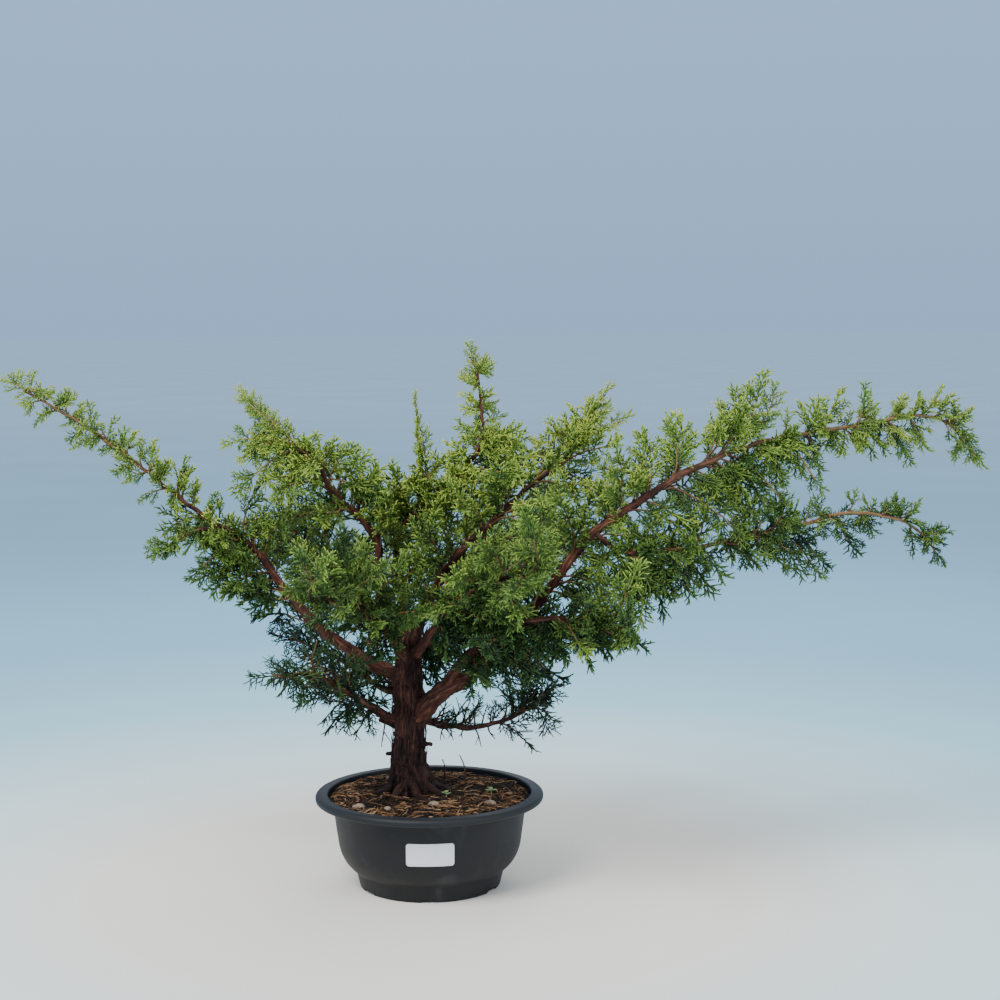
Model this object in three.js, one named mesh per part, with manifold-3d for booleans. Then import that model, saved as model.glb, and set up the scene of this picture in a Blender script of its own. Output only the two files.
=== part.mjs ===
// A young juniper grown as a bonsai, in its round plastic training pot.
// Millimetres, +Z up. The origin is the middle of the pot's base, on the surface that it stands on.
// The widest spread of the branches runs along X, and the front of the tree faces -Y.
import * as THREE from 'three';
import { mergeVertices } from 'three/addons/utils/BufferGeometryUtils.js';
import Module from 'manifold-3d';

const wasm = await Module();
wasm.setup();

// ---- Driving dimensions ----
const RIM_RADIUS = 112;
const RIM_WIDTH = 12;
const LIP_DEPTH = 7.5;
const POT_HEIGHT = 92;
const LIP_ROUND = 1.5;
const RIM_BEVEL = [4, 2.5];
const WALL = 2.4;
const BULGE = 1.6;
const BULGE_STEPS = 4;
const WALL_TOP_RADIUS = 95.5;
const BELLY_RADIUS = 89.5;
const BELLY_HEIGHT = 41;
const SHOULDER_RADIUS = 77;
const SHOULDER_HEIGHT = 19;
const FOOT_STEP = 3;
const FOOT_TOP_RADIUS = 73;
const FOOT_RADIUS = 69;
const FOOT_RIM = 4;
const SLOPE = 2;
const FLOOR_LIFT = 3;
const PAD_RADIUS = 18;
const DRAIN_COUNT = 6;
const DRAIN_RADIUS = 5;
const DRAIN_RING = 42;
const NOTCH_WIDTH = 17;
const NOTCH_DEPTH = 2.4;
const POT_SIDES = 48;

const LABEL_WIDTH = 46;
const LABEL_HEIGHT = 22.5;
const LABEL_CORNER = 3;
const LABEL_THICKNESS = 0.5;
const LABEL_MIDDLE = 53;

const GAP = 0.35;

const TRUNK_SIDES = 18;
const LIMB_SIDES = 7;
const STUB_SIDES = 6;
const ROOT_LOBES = 5;
const ROOT_LOBE_DEPTH = 0.2;

const SPRAY_THICKNESS = 7;
const SPRAY_SAG = 0.12;
const SPRAY_BASE = 3;
const SHOOTS_PER_SIDE = 4;
const SHOOT_REACH = 0.2;
const FIRST_SHOOT = 0.08;
const SHOOT_SPREAD = 0.8;
const NOTCH_SHARE = 0.4;
const WIDTH_START = 0.18;
const WIDTH_RUN = 0.7;

// ---- Materials ----
const finish = (color, roughness) => new THREE.MeshStandardMaterial({ color, roughness, metalness: 0 });
const PLASTIC = finish(0x2a2e33, 0.6);
const PAPER = finish(0xe8e8ea, 0.55);
const EARTH = finish(0x2b1d14, 0.95);
const STONE = finish(0xb9a58c, 0.8);
const BARK = finish(0x5a3325, 0.9);
const YOUNG_BARK = finish(0x8a4f33, 0.8);
const LITTER = finish(0xa8743f, 0.9);
const LEAF = finish(0x4f7a2a, 0.7);
const SEEDLING = finish(0x5f9a4a, 0.6);

// ---- Solids ----
function toSolid(geometry) {
  const bare = geometry.clone();
  bare.deleteAttribute('normal');
  bare.deleteAttribute('uv');
  const merged = mergeVertices(bare, 1e-4);
  const index = merged.index.array;
  const kept = [];
  for (let i = 0; i < index.length; i += 3) {
    const [a, b, c] = [index[i], index[i + 1], index[i + 2]];
    if (a !== b && b !== c && c !== a) kept.push(a, b, c);
  }
  return new wasm.Manifold(new wasm.Mesh({
    numProp: 3,
    vertProperties: Float32Array.from(merged.attributes.position.array),
    triVerts: Uint32Array.from(kept),
  }));
}

function toGeometry(solid) {
  const mesh = solid.getMesh();
  const geometry = new THREE.BufferGeometry();
  geometry.setAttribute('position', new THREE.BufferAttribute(mesh.vertProperties, 3));
  geometry.setIndex(new THREE.BufferAttribute(mesh.triVerts, 1));
  return geometry;
}

const joined = (solids) => solids.reduce((all, solid) => all.add(solid));
const without = (solid, others) => others.reduce((left, other) => left.subtract(other), solid);

function largestPiece(solid) {
  const pieces = solid.decompose();
  return pieces.reduce((best, piece) => (piece.volume() > best.volume() ? piece : best));
}

const group = new THREE.Group();

function addPiece(name, solid, material) {
  const mesh = new THREE.Mesh(toGeometry(solid), material);
  mesh.name = name;
  group.add(mesh);
}

// A solid of revolution about Z. The outline is a list of [radius, height] that starts and ends on the axis.
function turned(outline, sides) {
  const points = outline.map(([radius, height]) => new THREE.Vector2(radius, height));
  return toSolid(new THREE.LatheGeometry(points, sides).rotateX(Math.PI / 2));
}

const onRing = (radius, angle) => [radius * Math.cos(angle), radius * Math.sin(angle)];

// ---- Pot ----
// The points of a curved stretch between two points of an outline, which bulges out and down by BULGE.
function bulged([r0, z0], [r1, z1]) {
  const points = [];
  for (let i = 1; i < BULGE_STEPS; i += 1) {
    const t = i / BULGE_STEPS;
    const out = 4 * BULGE * t * (1 - t);
    points.push([r0 + (r1 - r0) * t + out, z0 + (z1 - z0) * t - out]);
  }
  return points;
}

function potOutside() {
  const lipUnderside = POT_HEIGHT - LIP_DEPTH;
  const shoulder = [SHOULDER_RADIUS, SHOULDER_HEIGHT];
  const belly = [BELLY_RADIUS, BELLY_HEIGHT];
  return [
    [0, 0], [PAD_RADIUS, 0], [PAD_RADIUS + SLOPE, FLOOR_LIFT],
    [FOOT_RADIUS - FOOT_RIM - SLOPE, FLOOR_LIFT], [FOOT_RADIUS - FOOT_RIM, 0], [FOOT_RADIUS, 0],
    [FOOT_TOP_RADIUS, SHOULDER_HEIGHT - FOOT_STEP], shoulder, ...bulged(shoulder, belly), belly,
    [WALL_TOP_RADIUS, lipUnderside], [RIM_RADIUS - LIP_ROUND, lipUnderside],
    [RIM_RADIUS, lipUnderside + LIP_ROUND], [RIM_RADIUS, POT_HEIGHT - RIM_BEVEL[1]],
    [RIM_RADIUS - RIM_BEVEL[0] / 2, POT_HEIGHT - RIM_BEVEL[1] / 6], [RIM_RADIUS - RIM_BEVEL[0], POT_HEIGHT],
    [RIM_RADIUS - RIM_WIDTH + 1, POT_HEIGHT],
  ];
}

// The inner wall, from the rim down to the floor, moved inwards by extra.
function potInside(extra) {
  const shoulder = [SHOULDER_RADIUS - WALL - extra, SHOULDER_HEIGHT + 1.5];
  const belly = [BELLY_RADIUS - WALL - extra, BELLY_HEIGHT + 0.6];
  const floor = FLOOR_LIFT + WALL + extra;
  return [
    [RIM_RADIUS - RIM_WIDTH - extra, POT_HEIGHT - 1],
    [RIM_RADIUS - RIM_WIDTH - 0.4 - extra, POT_HEIGHT - LIP_DEPTH],
    [WALL_TOP_RADIUS - WALL - extra, POT_HEIGHT - LIP_DEPTH - 4],
    belly, ...bulged(shoulder, belly).reverse(), shoulder,
    [FOOT_TOP_RADIUS - WALL - 1 - extra, SHOULDER_HEIGHT - 2],
    [FOOT_RADIUS - 5 - extra, floor],
  ];
}

function makePot() {
  const padTop = [[PAD_RADIUS + 0.5, FLOOR_LIFT + WALL], [PAD_RADIUS - 1.5, WALL], [0, WALL]];
  let pot = turned([...potOutside(), ...potInside(0), ...padTop], POT_SIDES);
  for (let i = 0; i < DRAIN_COUNT; i += 1) {
    const angle = -Math.PI / 2 + (2 * Math.PI * i) / DRAIN_COUNT;
    const [x, y] = onRing(DRAIN_RING, angle);
    const drain = new THREE.CylinderGeometry(DRAIN_RADIUS, DRAIN_RADIUS, 4 * WALL, 12);
    pot = pot.subtract(toSolid(drain.rotateX(Math.PI / 2).translate(x, y, FLOOR_LIFT + WALL / 2)));
    const notch = new THREE.BoxGeometry(20, NOTCH_WIDTH, 2 * NOTCH_DEPTH);
    notch.translate(FOOT_RADIUS, 0, 0).rotateZ(angle);
    pot = pot.subtract(toSolid(notch));
  }
  return pot;
}

// A thin paper rectangle with round corners that follows the wall.
function makeLabel() {
  const slope = (WALL_TOP_RADIUS - BELLY_RADIUS) / (POT_HEIGHT - LIP_DEPTH - BELLY_HEIGHT);
  const wallAt = (height) => BELLY_RADIUS + slope * (height - BELLY_HEIGHT) + GAP;
  const low = LABEL_MIDDLE - LABEL_HEIGHT;
  const high = LABEL_MIDDLE + LABEL_HEIGHT;
  const outer = (height) => [wallAt(height) + LABEL_THICKNESS, height];
  const cup = [[0, low], outer(low), outer(high), [0, high]];
  const core = [[0, low - 1], [wallAt(low - 1), low - 1], [wallAt(high + 1), high + 1], [0, high + 1]];
  const band = turned(cup, POT_SIDES).subtract(turned(core, POT_SIDES));
  const [w, h, r] = [LABEL_WIDTH / 2, LABEL_HEIGHT / 2, LABEL_CORNER];
  const outline = new THREE.Shape();
  outline.absarc(w - r, h - r, r, 0, Math.PI / 2);
  outline.absarc(-w + r, h - r, r, Math.PI / 2, Math.PI);
  outline.absarc(-w + r, -h + r, r, Math.PI, 1.5 * Math.PI);
  outline.absarc(w - r, -h + r, r, 1.5 * Math.PI, 2 * Math.PI);
  const settings = { depth: RIM_RADIUS, bevelEnabled: false, curveSegments: 4 };
  const prism = new THREE.ExtrudeGeometry(outline, settings);
  return band.intersect(toSolid(prism.rotateX(Math.PI / 2).translate(0, 0, LABEL_MIDDLE)));
}

// ---- Wood ----
const smooth = (points) => (
  new THREE.CatmullRomCurve3(points.map((p) => new THREE.Vector3(...p)), false, 'centripetal')
);

// A closed tapered rod along a smooth curve through points. radii are spread evenly along its length.
function rod(points, radii, sides, grow = 0, lobed = () => 1) {
  const curve = smooth(points);
  const steps = Math.max(4, 2 * (points.length - 1));
  const frames = curve.computeFrenetFrames(steps);
  const profile = [new THREE.Vector2(0, 0)];
  for (let i = 0; i <= steps; i += 1) {
    const place = (i / steps) * (radii.length - 1);
    const k = Math.min(Math.floor(place), radii.length - 2);
    profile.push(new THREE.Vector2(THREE.MathUtils.lerp(radii[k], radii[k + 1], place - k) + grow, i));
  }
  profile.push(new THREE.Vector2(0, steps));
  const geometry = new THREE.LatheGeometry(profile, sides);
  const position = geometry.attributes.position;
  for (let v = 0; v < position.count; v += 1) {
    const [x, y, z] = [position.getX(v), position.getY(v), position.getZ(v)];
    const i = Math.round(y);
    const swell = lobed(i / steps, Math.atan2(z, x));
    const at = curve.getPointAt(i / steps);
    at.addScaledVector(frames.binormals[i], x * swell).addScaledVector(frames.normals[i], z * swell);
    if (i === steps) at.addScaledVector(frames.tangents[i], grow);
    position.setXYZ(v, at.x, at.y, at.z);
  }
  return toSolid(geometry);
}

const TRUNK_POINTS = [[-17, 0, 68], [-18, 0, 88], [-19, 0, 106], [-20, 0, 126], [-19, 0, 160],
  [-20, 0, 195], [-19, 0, 225], [-16, 0, 246]];
const TRUNK_RADII = [29, 25, 19, 17, 16.5, 14, 12.5, 11];

// Short stumps of old side shoots: route and radii.
const TRUNK_STUBS = [
  [[[-20, 0, 157], [-36, -3, 160], [-48, -5, 165]], [4, 3, 2.4]],
  [[[-20, 2, 126], [-34, 6, 130], [-42, 8, 128]], [3, 2.4, 1.8]],
  [[[-19, 0, 132], [-6, -12, 140], [2, -20, 143]], [3, 2.6, 2]],
];

// Surface roots spread the foot of the trunk into lobes.
const ROOT_SHARE = 1 / 3;
function rootLobes(along, angle) {
  const depth = ROOT_LOBE_DEPTH * Math.max(0, 1 - along / ROOT_SHARE);
  return 1 + depth * Math.cos(ROOT_LOBES * angle);
}

function makeTrunk(grow) {
  const stubs = TRUNK_STUBS.map(([points, radii]) => rod(points, radii, STUB_SIDES, grow));
  return joined([rod(TRUNK_POINTS, TRUNK_RADII, TRUNK_SIDES, grow, rootLobes), ...stubs]);
}

// Each limb's route, which starts inside the wood that it grows from, and its radii along it.
const LIMBS = {
  limb_right_main: {
    points: [[-16, 0, 158], [10, -20, 193], [35, -35, 210], [70, -52, 243], [110, -65, 295], [155, -60, 350],
      [210, -45, 385], [265, -30, 415], [330, -15, 435], [400, 0, 445], [500, 10, 455], [535, 10, 432]],
    radii: [13, 9.2, 6.8, 5.6, 5.2, 4.6, 3.8, 3, 2.3, 1.9, 1.5],
  },
  limb_right_second: {
    points: [[158, -60, 352], [180, -60, 336], [220, -60, 334], [275, -50, 340], [360, -30, 355],
      [410, -20, 365], [465, -10, 355], [492, -10, 335]],
    radii: [2.8, 2.5, 2.2, 1.9, 1.6, 1.3],
  },
  limb_right_inner: {
    points: [[14, -20, 195], [28, -45, 222], [60, -95, 262], [105, -125, 282], [160, -145, 274]],
    radii: [6, 4.2, 3, 2, 1.5],
  },
  limb_right_low: {
    points: [[-12, 2, 164], [20, 20, 153], [45, 35, 147], [70, 45, 150], [110, 62, 163]],
    radii: [5, 3.6, 2.8, 2.2, 1.6],
  },
  limb_left_main: {
    points: [[-20, 0, 204], [-60, 10, 220], [-90, 15, 240], [-115, 20, 260], [-137, 24, 285], [-160, 20, 318],
      [-182, 15, 343], [-205, 10, 356], [-245, 0, 390], [-285, -5, 425], [-320, -5, 455], [-385, 0, 495]],
    radii: [8, 6.4, 5.2, 4.6, 3.6, 3, 2.4, 1.9, 1.5],
  },
  limb_left_spray: {
    points: [[-182, 14, 344], [-200, 2, 351], [-222, -12, 354], [-250, -24, 338]],
    radii: [2.6, 2.2, 1.8, 1.3],
  },
  limb_left_low: {
    points: [[-20, 0, 160], [-45, -10, 171], [-62, -25, 186], [-82, -40, 202], [-110, -62, 222],
      [-140, -76, 221]],
    radii: [5.5, 4.2, 3.2, 2.6, 2, 1.5],
  },
  limb_left_mid: {
    points: [[-20, 0, 190], [-48, 30, 190], [-62, 52, 196], [-85, 82, 206], [-125, 112, 220]],
    radii: [4, 3, 2.4, 2, 1.4],
  },
  limb_upper_left: {
    points: [[-20, 2, 232], [-36, 20, 266], [-46, 32, 298], [-50, 35, 335], [-68, 30, 362], [-92, 20, 387],
      [-106, 15, 414], [-124, 10, 430], [-160, 10, 438]],
    radii: [5.8, 4.5, 3.6, 3, 2.5, 2, 1.5],
  },
  limb_centre_apex: {
    points: [[-17, 3, 236], [-24, 22, 280], [-30, 32, 315], [-24, 30, 350], [5, 20, 376], [35, 10, 401],
      [52, 0, 436], [54, 0, 470], [49, 0, 510]],
    radii: [5.2, 4.2, 3.4, 2.8, 2.2, 1.7, 1.3, 1.1],
  },
  limb_centre_right: {
    points: [[-15, -3, 234], [-5, -20, 276], [10, -27, 302], [26, -30, 326], [46, -30, 346], [75, -20, 371],
      [103, -10, 396], [132, 0, 414], [158, 5, 445]],
    radii: [5.6, 4.6, 3.8, 3.1, 2.6, 2, 1.5],
  },
  limb_front_left: {
    points: [[-19, -2, 222], [-34, -42, 250], [-52, -82, 280], [-78, -118, 300], [-104, -150, 306]],
    radii: [5, 3.8, 2.8, 2, 1.4],
  },
  limb_front_right: {
    points: [[-14, -2, 226], [6, -52, 262], [26, -94, 292], [62, -130, 318], [92, -158, 326]],
    radii: [5, 3.8, 2.8, 2, 1.4],
  },
  limb_back_left: {
    points: [[-19, 2, 216], [-42, 46, 246], [-72, 88, 282], [-112, 128, 312], [-150, 158, 330]],
    radii: [5, 3.8, 2.8, 2, 1.4],
  },
  limb_back_right: {
    points: [[-16, 3, 222], [12, 50, 252], [42, 96, 286], [86, 136, 316], [132, 160, 336]],
    radii: [5, 3.8, 2.8, 2, 1.4],
  },
};

const makeLimb = (limb, grow) => rod(limb.points, limb.radii, LIMB_SIDES, grow);

// ---- Foliage ----
// Each spray: the limb it sits on, how far along it, the way it grows, its length and its width.
const SPRAYS = {
  spray_left_tip: ['limb_left_main', 0.9, [-1, 0, 0.62], 88, 34],
  spray_left_arch: ['limb_left_main', 0.78, [-0.9, -0.3, 0.1], 80, 40],
  spray_left_crest: ['limb_left_main', 0.7, [-0.35, 0.3, 1], 95, 70],
  spray_left_middle: ['limb_left_main', 0.52, [-0.9, 0.5, 0.1], 125, 100],
  spray_left_inner: ['limb_left_main', 0.36, [-0.7, -0.5, 0.35], 120, 100],
  spray_left_droop: ['limb_left_spray', 0.45, [-1, -0.25, -0.38], 110, 70],
  spray_low_left: ['limb_left_low', 0.6, [-1, -0.45, 0.08], 110, 85],
  spray_low_left_hang: ['limb_left_low', 0.45, [-0.5, -0.1, -0.5], 80, 60],
  spray_mid_left: ['limb_left_mid', 0.6, [-0.9, 0.6, 0.2], 105, 80],
  spray_upper_left_crown: ['limb_upper_left', 0.8, [-1, -0.1, 0.25], 115, 90],
  spray_upper_left_sprout: ['limb_upper_left', 0.95, [-0.15, 0, 1], 74, 26],
  spray_upper_left_side: ['limb_upper_left', 0.62, [-0.8, 0.7, 0.05], 125, 90],
  spray_upper_left_front: ['limb_upper_left', 0.56, [0.15, -0.9, 0.5], 105, 85],
  spray_apex_tip: ['limb_centre_apex', 0.82, [-0.05, 0, 1], 92, 40],
  spray_apex_front: ['limb_centre_apex', 0.6, [-0.1, -0.7, 0.7], 95, 80],
  spray_centre_crown: ['limb_centre_right', 0.78, [0.7, 0.1, 0.8], 115, 80],
  spray_centre_back: ['limb_centre_right', 0.56, [0.3, 0.9, 0.5], 110, 90],
  spray_right_shoulder: ['limb_right_main', 0.36, [0.3, -0.5, 0.85], 105, 90],
  spray_right_crest: ['limb_right_main', 0.55, [0.6, -0.1, 0.95], 110, 70],
  spray_right_side: ['limb_right_main', 0.64, [0.9, 0.45, -0.05], 125, 90],
  spray_right_tip: ['limb_right_main', 0.88, [0.95, 0.05, -0.2], 86, 50],
  spray_second_side: ['limb_right_second', 0.4, [0.9, -0.3, -0.15], 115, 75],
  spray_second_tip: ['limb_right_second', 0.84, [0.9, 0.05, -0.5], 68, 40],
  spray_low_right: ['limb_right_low', 0.62, [0.9, 0.5, 0.2], 76, 40],
  spray_inner_right: ['limb_right_inner', 0.62, [0.95, -0.2, -0.05], 130, 100],
  spray_front_left: ['limb_front_left', 0.6, [-0.5, -0.9, 0.12], 110, 105],
  spray_front_right: ['limb_front_right', 0.6, [0.5, -0.85, 0.15], 110, 100],
  spray_back_left: ['limb_back_left', 0.6, [-0.7, 0.7, 0.15], 115, 105],
  spray_back_right: ['limb_back_right', 0.6, [0.6, 0.7, 0.2], 115, 105],
};

// A flat frond with pointed side shoots, drooping towards its tip. margin makes it larger all round.
function frond(length, width, margin) {
  const side = [];
  for (let i = 0; i < SHOOTS_PER_SIDE; i += 1) {
    const place = i / SHOOTS_PER_SIDE;
    const notch = length * (FIRST_SHOOT + SHOOT_SPREAD * place);
    const reach = 0.5 * width * Math.sin(Math.PI * (WIDTH_START + WIDTH_RUN * place));
    side.push([notch, NOTCH_SHARE * reach + margin]);
    side.push([notch + SHOOT_REACH * length, reach + margin]);
  }
  const outline = new THREE.Shape();
  outline.moveTo(-margin, SPRAY_BASE + margin);
  side.forEach(([s, w]) => outline.lineTo(s, w));
  outline.lineTo(length + margin, 0);
  side.reverse().forEach(([s, w]) => outline.lineTo(s, -w));
  outline.lineTo(-margin, -SPRAY_BASE - margin);
  const depth = SPRAY_THICKNESS + 2 * margin;
  const plate = new THREE.ExtrudeGeometry(outline, { depth, bevelEnabled: false });
  plate.translate(0, 0, -depth / 2);
  const position = plate.attributes.position;
  for (let v = 0; v < position.count; v += 1) {
    const s = position.getX(v) / length;
    position.setZ(v, position.getZ(v) - SPRAY_SAG * length * s * s);
  }
  return plate;
}

function makeSpray([limbName, along, direction, length, width], margin) {
  const curve = smooth(LIMBS[limbName].points);
  const forward = new THREE.Vector3(...direction).normalize();
  const sideways = new THREE.Vector3(0, 0, 1).cross(forward).normalize();
  const upward = forward.clone().cross(sideways);
  const frame = new THREE.Matrix4().makeBasis(forward, sideways, upward).setPosition(curve.getPointAt(along));
  return toSolid(frond(length, width, margin).applyMatrix4(frame));
}

// ---- Things that lie on the soil ----
// Each pebble: its middle and its half sizes.
const PEBBLES = {
  pebble_front: [[4, -52, 92.5], [6, 5, 4]],
  pebble_left: [[-68, -48, 90.5], [6.5, 5, 3.5]],
  pebble_middle: [[-40, -60, 91], [4, 4.5, 3]],
  pebble_right: [[58, -46, 91.5], [6, 5, 3.5]],
};

const CHIPS = {
  bark_chip_front: [[16, -62, 91.8], [17, 7, 2.2], 0.3],
  bark_chip_left: [[-74, -18, 91.2], [15, 6, 2], -0.5],
  bark_chip_right: [[78, -12, 91], [14, 7, 2.2], 1.2],
};

function makePebble([[x, y, z], [a, b, c]], grow) {
  return toSolid(new THREE.IcosahedronGeometry(1, 1).scale(a + grow, b + grow, c + grow).translate(x, y, z));
}

function makeChip([[x, y, z], [a, b, c], turn], grow) {
  const chip = new THREE.BoxGeometry(a + 2 * grow, b + 2 * grow, c + 2 * grow).rotateY(0.1).rotateZ(turn);
  return toSolid(chip.translate(x, y, z));
}

const STEMS = {
  fallen_twig: [[[-44, -26, 95.5], [-32, -34, 95], [-20, -40, 93.5]], [1.3, 1.5, 1.2]],
  dry_stalk_back: [[[14, 30, 88], [16, 31, 104], [13, 30, 116]], [0.9, 0.8, 0.6]],
  dry_stalk_right: [[[34, 22, 88], [36, 23, 106], [30, 22, 122]], [0.9, 0.8, 0.6]],
};

const SEEDLING_STEM = [0.8, 0.8, 0.6];
const LEAF_SLENDERNESS = 1.7;
const LEAF_THICKNESS = 0.7;
const LEAF_TILT = 0.35;

// A stem with leaves all round it, every other one higher.
function makeSeedling([x, y, z], height, leaves, leafLength, grow) {
  const parts = [rod([[x, y, z - 6], [x, y, z], [x, y, z + height]], SEEDLING_STEM, STUB_SIDES, grow)];
  for (let i = 0; i < leaves; i += 1) {
    const reach = leafLength / 2;
    const leaf = new THREE.IcosahedronGeometry(1, 1).scale(reach, reach / LEAF_SLENDERNESS, LEAF_THICKNESS);
    leaf.translate(reach, 0, 0).rotateY(-LEAF_TILT).rotateZ((2 * Math.PI * i) / leaves);
    parts.push(toSolid(leaf.translate(x, y, z + height * (0.75 + 0.25 * (i % 2)))));
  }
  return joined(parts);
}

const SEEDLINGS = {
  seedling_round: [[60, -18, 92], 5, 4, 6],
  seedling_narrow: [[16, -30, 92.5], 5, 5, 5],
};

// ---- Soil ----
// It fills the pot to just under the rim, rises towards the trunk, and makes room for what stands in it.
const SOIL_TOP = [[97.5, 87], [88, 89], [70, 90.5], [40, 91.5], [0, 92]];
const SOIL_SHORE = [[92.2, 79.8], [98.3, 84.4]];

function makeSoil(lodged) {
  const foot = [0, FLOOR_LIFT + WALL + GAP];
  const side = potInside(GAP).slice(3).reverse();
  const earth = turned([foot, ...side, ...SOIL_SHORE, ...SOIL_TOP], POT_SIDES);
  return largestPiece(without(earth, lodged));
}

// ---- Assembly ----
addPiece('pot', makePot(), PLASTIC);
addPiece('label_plate', makeLabel(), PAPER);

addPiece('trunk', makeTrunk(0), BARK);
const wood = [makeTrunk(GAP)];
for (const [name, limb] of Object.entries(LIMBS)) {
  const material = name.includes('main') ? BARK : YOUNG_BARK;
  addPiece(name, largestPiece(without(makeLimb(limb, 0), wood)), material);
  wood.push(makeLimb(limb, GAP));
}

const sprays = [];
for (const [name, spray] of Object.entries(SPRAYS)) {
  addPiece(name, largestPiece(without(makeSpray(spray, 0), [...wood, ...sprays])), LEAF);
  sprays.push(makeSpray(spray, GAP));
}

const lodged = [makeTrunk(GAP)];
function addOnSoil(pieces, make, material) {
  for (const [name, piece] of Object.entries(pieces)) {
    addPiece(name, make(piece, 0), material);
    lodged.push(make(piece, GAP));
  }
}
addOnSoil(PEBBLES, makePebble, STONE);
addOnSoil(CHIPS, makeChip, LITTER);
addOnSoil(STEMS, ([points, radii], grow) => rod(points, radii, STUB_SIDES, grow), LITTER);
addOnSoil(SEEDLINGS, (seedling, grow) => makeSeedling(...seedling, grow), SEEDLING);
addPiece('soil', makeSoil(lodged), EARTH);

export default group;
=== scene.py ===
# The looks of a juniper bonsai in its plastic training pot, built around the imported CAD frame.
# +Z up. Shapes are worked out in millimetres and scaled by MM when their mesh is made.
# Blender's own units are metres.
import math

import bpy
import numpy as np
from mathutils import Matrix, Vector


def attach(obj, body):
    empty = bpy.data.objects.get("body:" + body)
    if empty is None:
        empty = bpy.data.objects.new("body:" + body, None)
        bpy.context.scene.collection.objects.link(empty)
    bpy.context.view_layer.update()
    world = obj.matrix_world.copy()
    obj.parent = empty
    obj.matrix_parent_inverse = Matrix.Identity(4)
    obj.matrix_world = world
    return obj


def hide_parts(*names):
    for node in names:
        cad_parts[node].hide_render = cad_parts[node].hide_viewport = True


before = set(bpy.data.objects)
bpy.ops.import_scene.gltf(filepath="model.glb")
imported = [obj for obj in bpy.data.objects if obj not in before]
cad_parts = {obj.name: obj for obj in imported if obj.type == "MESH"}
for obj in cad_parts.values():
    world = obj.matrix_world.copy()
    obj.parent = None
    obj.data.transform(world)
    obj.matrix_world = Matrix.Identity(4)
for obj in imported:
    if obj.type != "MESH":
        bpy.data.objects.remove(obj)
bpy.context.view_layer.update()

MM = 0.001
UP = np.array([0.0, 0.0, 1.0])
TAU = 2 * math.pi
GOLDEN_TURN = 2.39996


# ---------------------------------------------------------------- camera, light and stage
CAMERA_DISTANCE = 1.837
CAMERA_HEIGHT = 0.555
CAMERA_YAW = 2.221
CAMERA_PITCH = 5.471
CAMERA_ROLL = 0.356
CAMERA_LENS = 68.4
SENSOR = 36.0


def make_camera():
    camera = bpy.data.objects.new("camera", bpy.data.cameras.new("camera"))
    camera.data.lens = CAMERA_LENS
    camera.data.sensor_width = SENSOR
    camera.data.clip_start = 0.05
    camera.location = (0, -CAMERA_DISTANCE, CAMERA_HEIGHT)
    yaw = Matrix.Rotation(math.radians(-CAMERA_YAW), 4, "Z")
    pitch = Matrix.Rotation(math.radians(90 - CAMERA_PITCH), 4, "X")
    roll = Matrix.Rotation(math.radians(-CAMERA_ROLL), 4, "Z")
    camera.rotation_euler = (yaw @ pitch @ roll).to_euler()
    bpy.context.scene.collection.objects.link(camera)
    bpy.context.scene.camera = camera


def make_softbox(name, place, target, size, power, colour):
    light = bpy.data.lights.new(name, "AREA")
    light.shape = "DISK"
    light.size = size
    light.energy = power
    light.color = colour
    holder = bpy.data.objects.new(name, light)
    holder.location = place
    aim = Vector(target) - Vector(place)
    holder.rotation_euler = aim.to_track_quat("-Z", "Y").to_euler()
    bpy.context.scene.collection.objects.link(holder)


def make_lights():
    centre = (0.0, 0.0, 0.3)
    make_softbox("key_light", (-1.1, -1.5, 2.3), centre, 1.4, 92, (1.0, 0.985, 0.95))
    make_softbox("fill_light", (1.9, -1.6, 1.3), centre, 1.8, 30, (0.96, 0.98, 1.0))
    make_softbox("rim_light", (0.4, 2.0, 2.2), centre, 1.6, 26, (0.97, 0.98, 1.0))
    world = bpy.data.worlds.new("world")
    bpy.context.scene.world = world
    world.use_nodes = True
    tree = world.node_tree
    direction = add_node(tree, "ShaderNodeTexCoord").outputs["Generated"]
    height = add_node(tree, "ShaderNodeSeparateXYZ", Vector=direction).outputs["Z"]
    sky = ramp(tree, height, [(0.0, (0.35, 0.54, 0.84)), (0.16, (0.40, 0.63, 1.0)), (0.6, (0.74, 0.80, 0.86)),
                              (1.0, (0.80, 0.83, 0.85))])
    tree.links.new(sky, tree.nodes["Background"].inputs["Color"])


# ---------------------------------------------------------------- meshes from arrays
class Batch:
    """Gathers closed shapes and builds one mesh of them. Each vertex has a tint: its place in a palette."""

    def __init__(self):
        self.points = []
        self.tints = []
        self.faces = {3: [], 4: []}
        self.count = 0

    def add(self, points, faces, tints):
        self.points.append(points)
        self.tints.append(np.broadcast_to(tints, (len(points), 2)))
        for corners in faces:
            if len(corners):
                self.faces[corners.shape[1]].append(corners + self.count)
        self.count += len(points)

    def groups(self):
        return [np.concatenate(group) for group in self.faces.values() if group]

    def build(self, name, material, slot, replaced):
        points = np.concatenate(self.points)
        tints = np.concatenate(self.tints)
        return make_mesh(name, points, self.groups(), tints, material, replaced)


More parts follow.
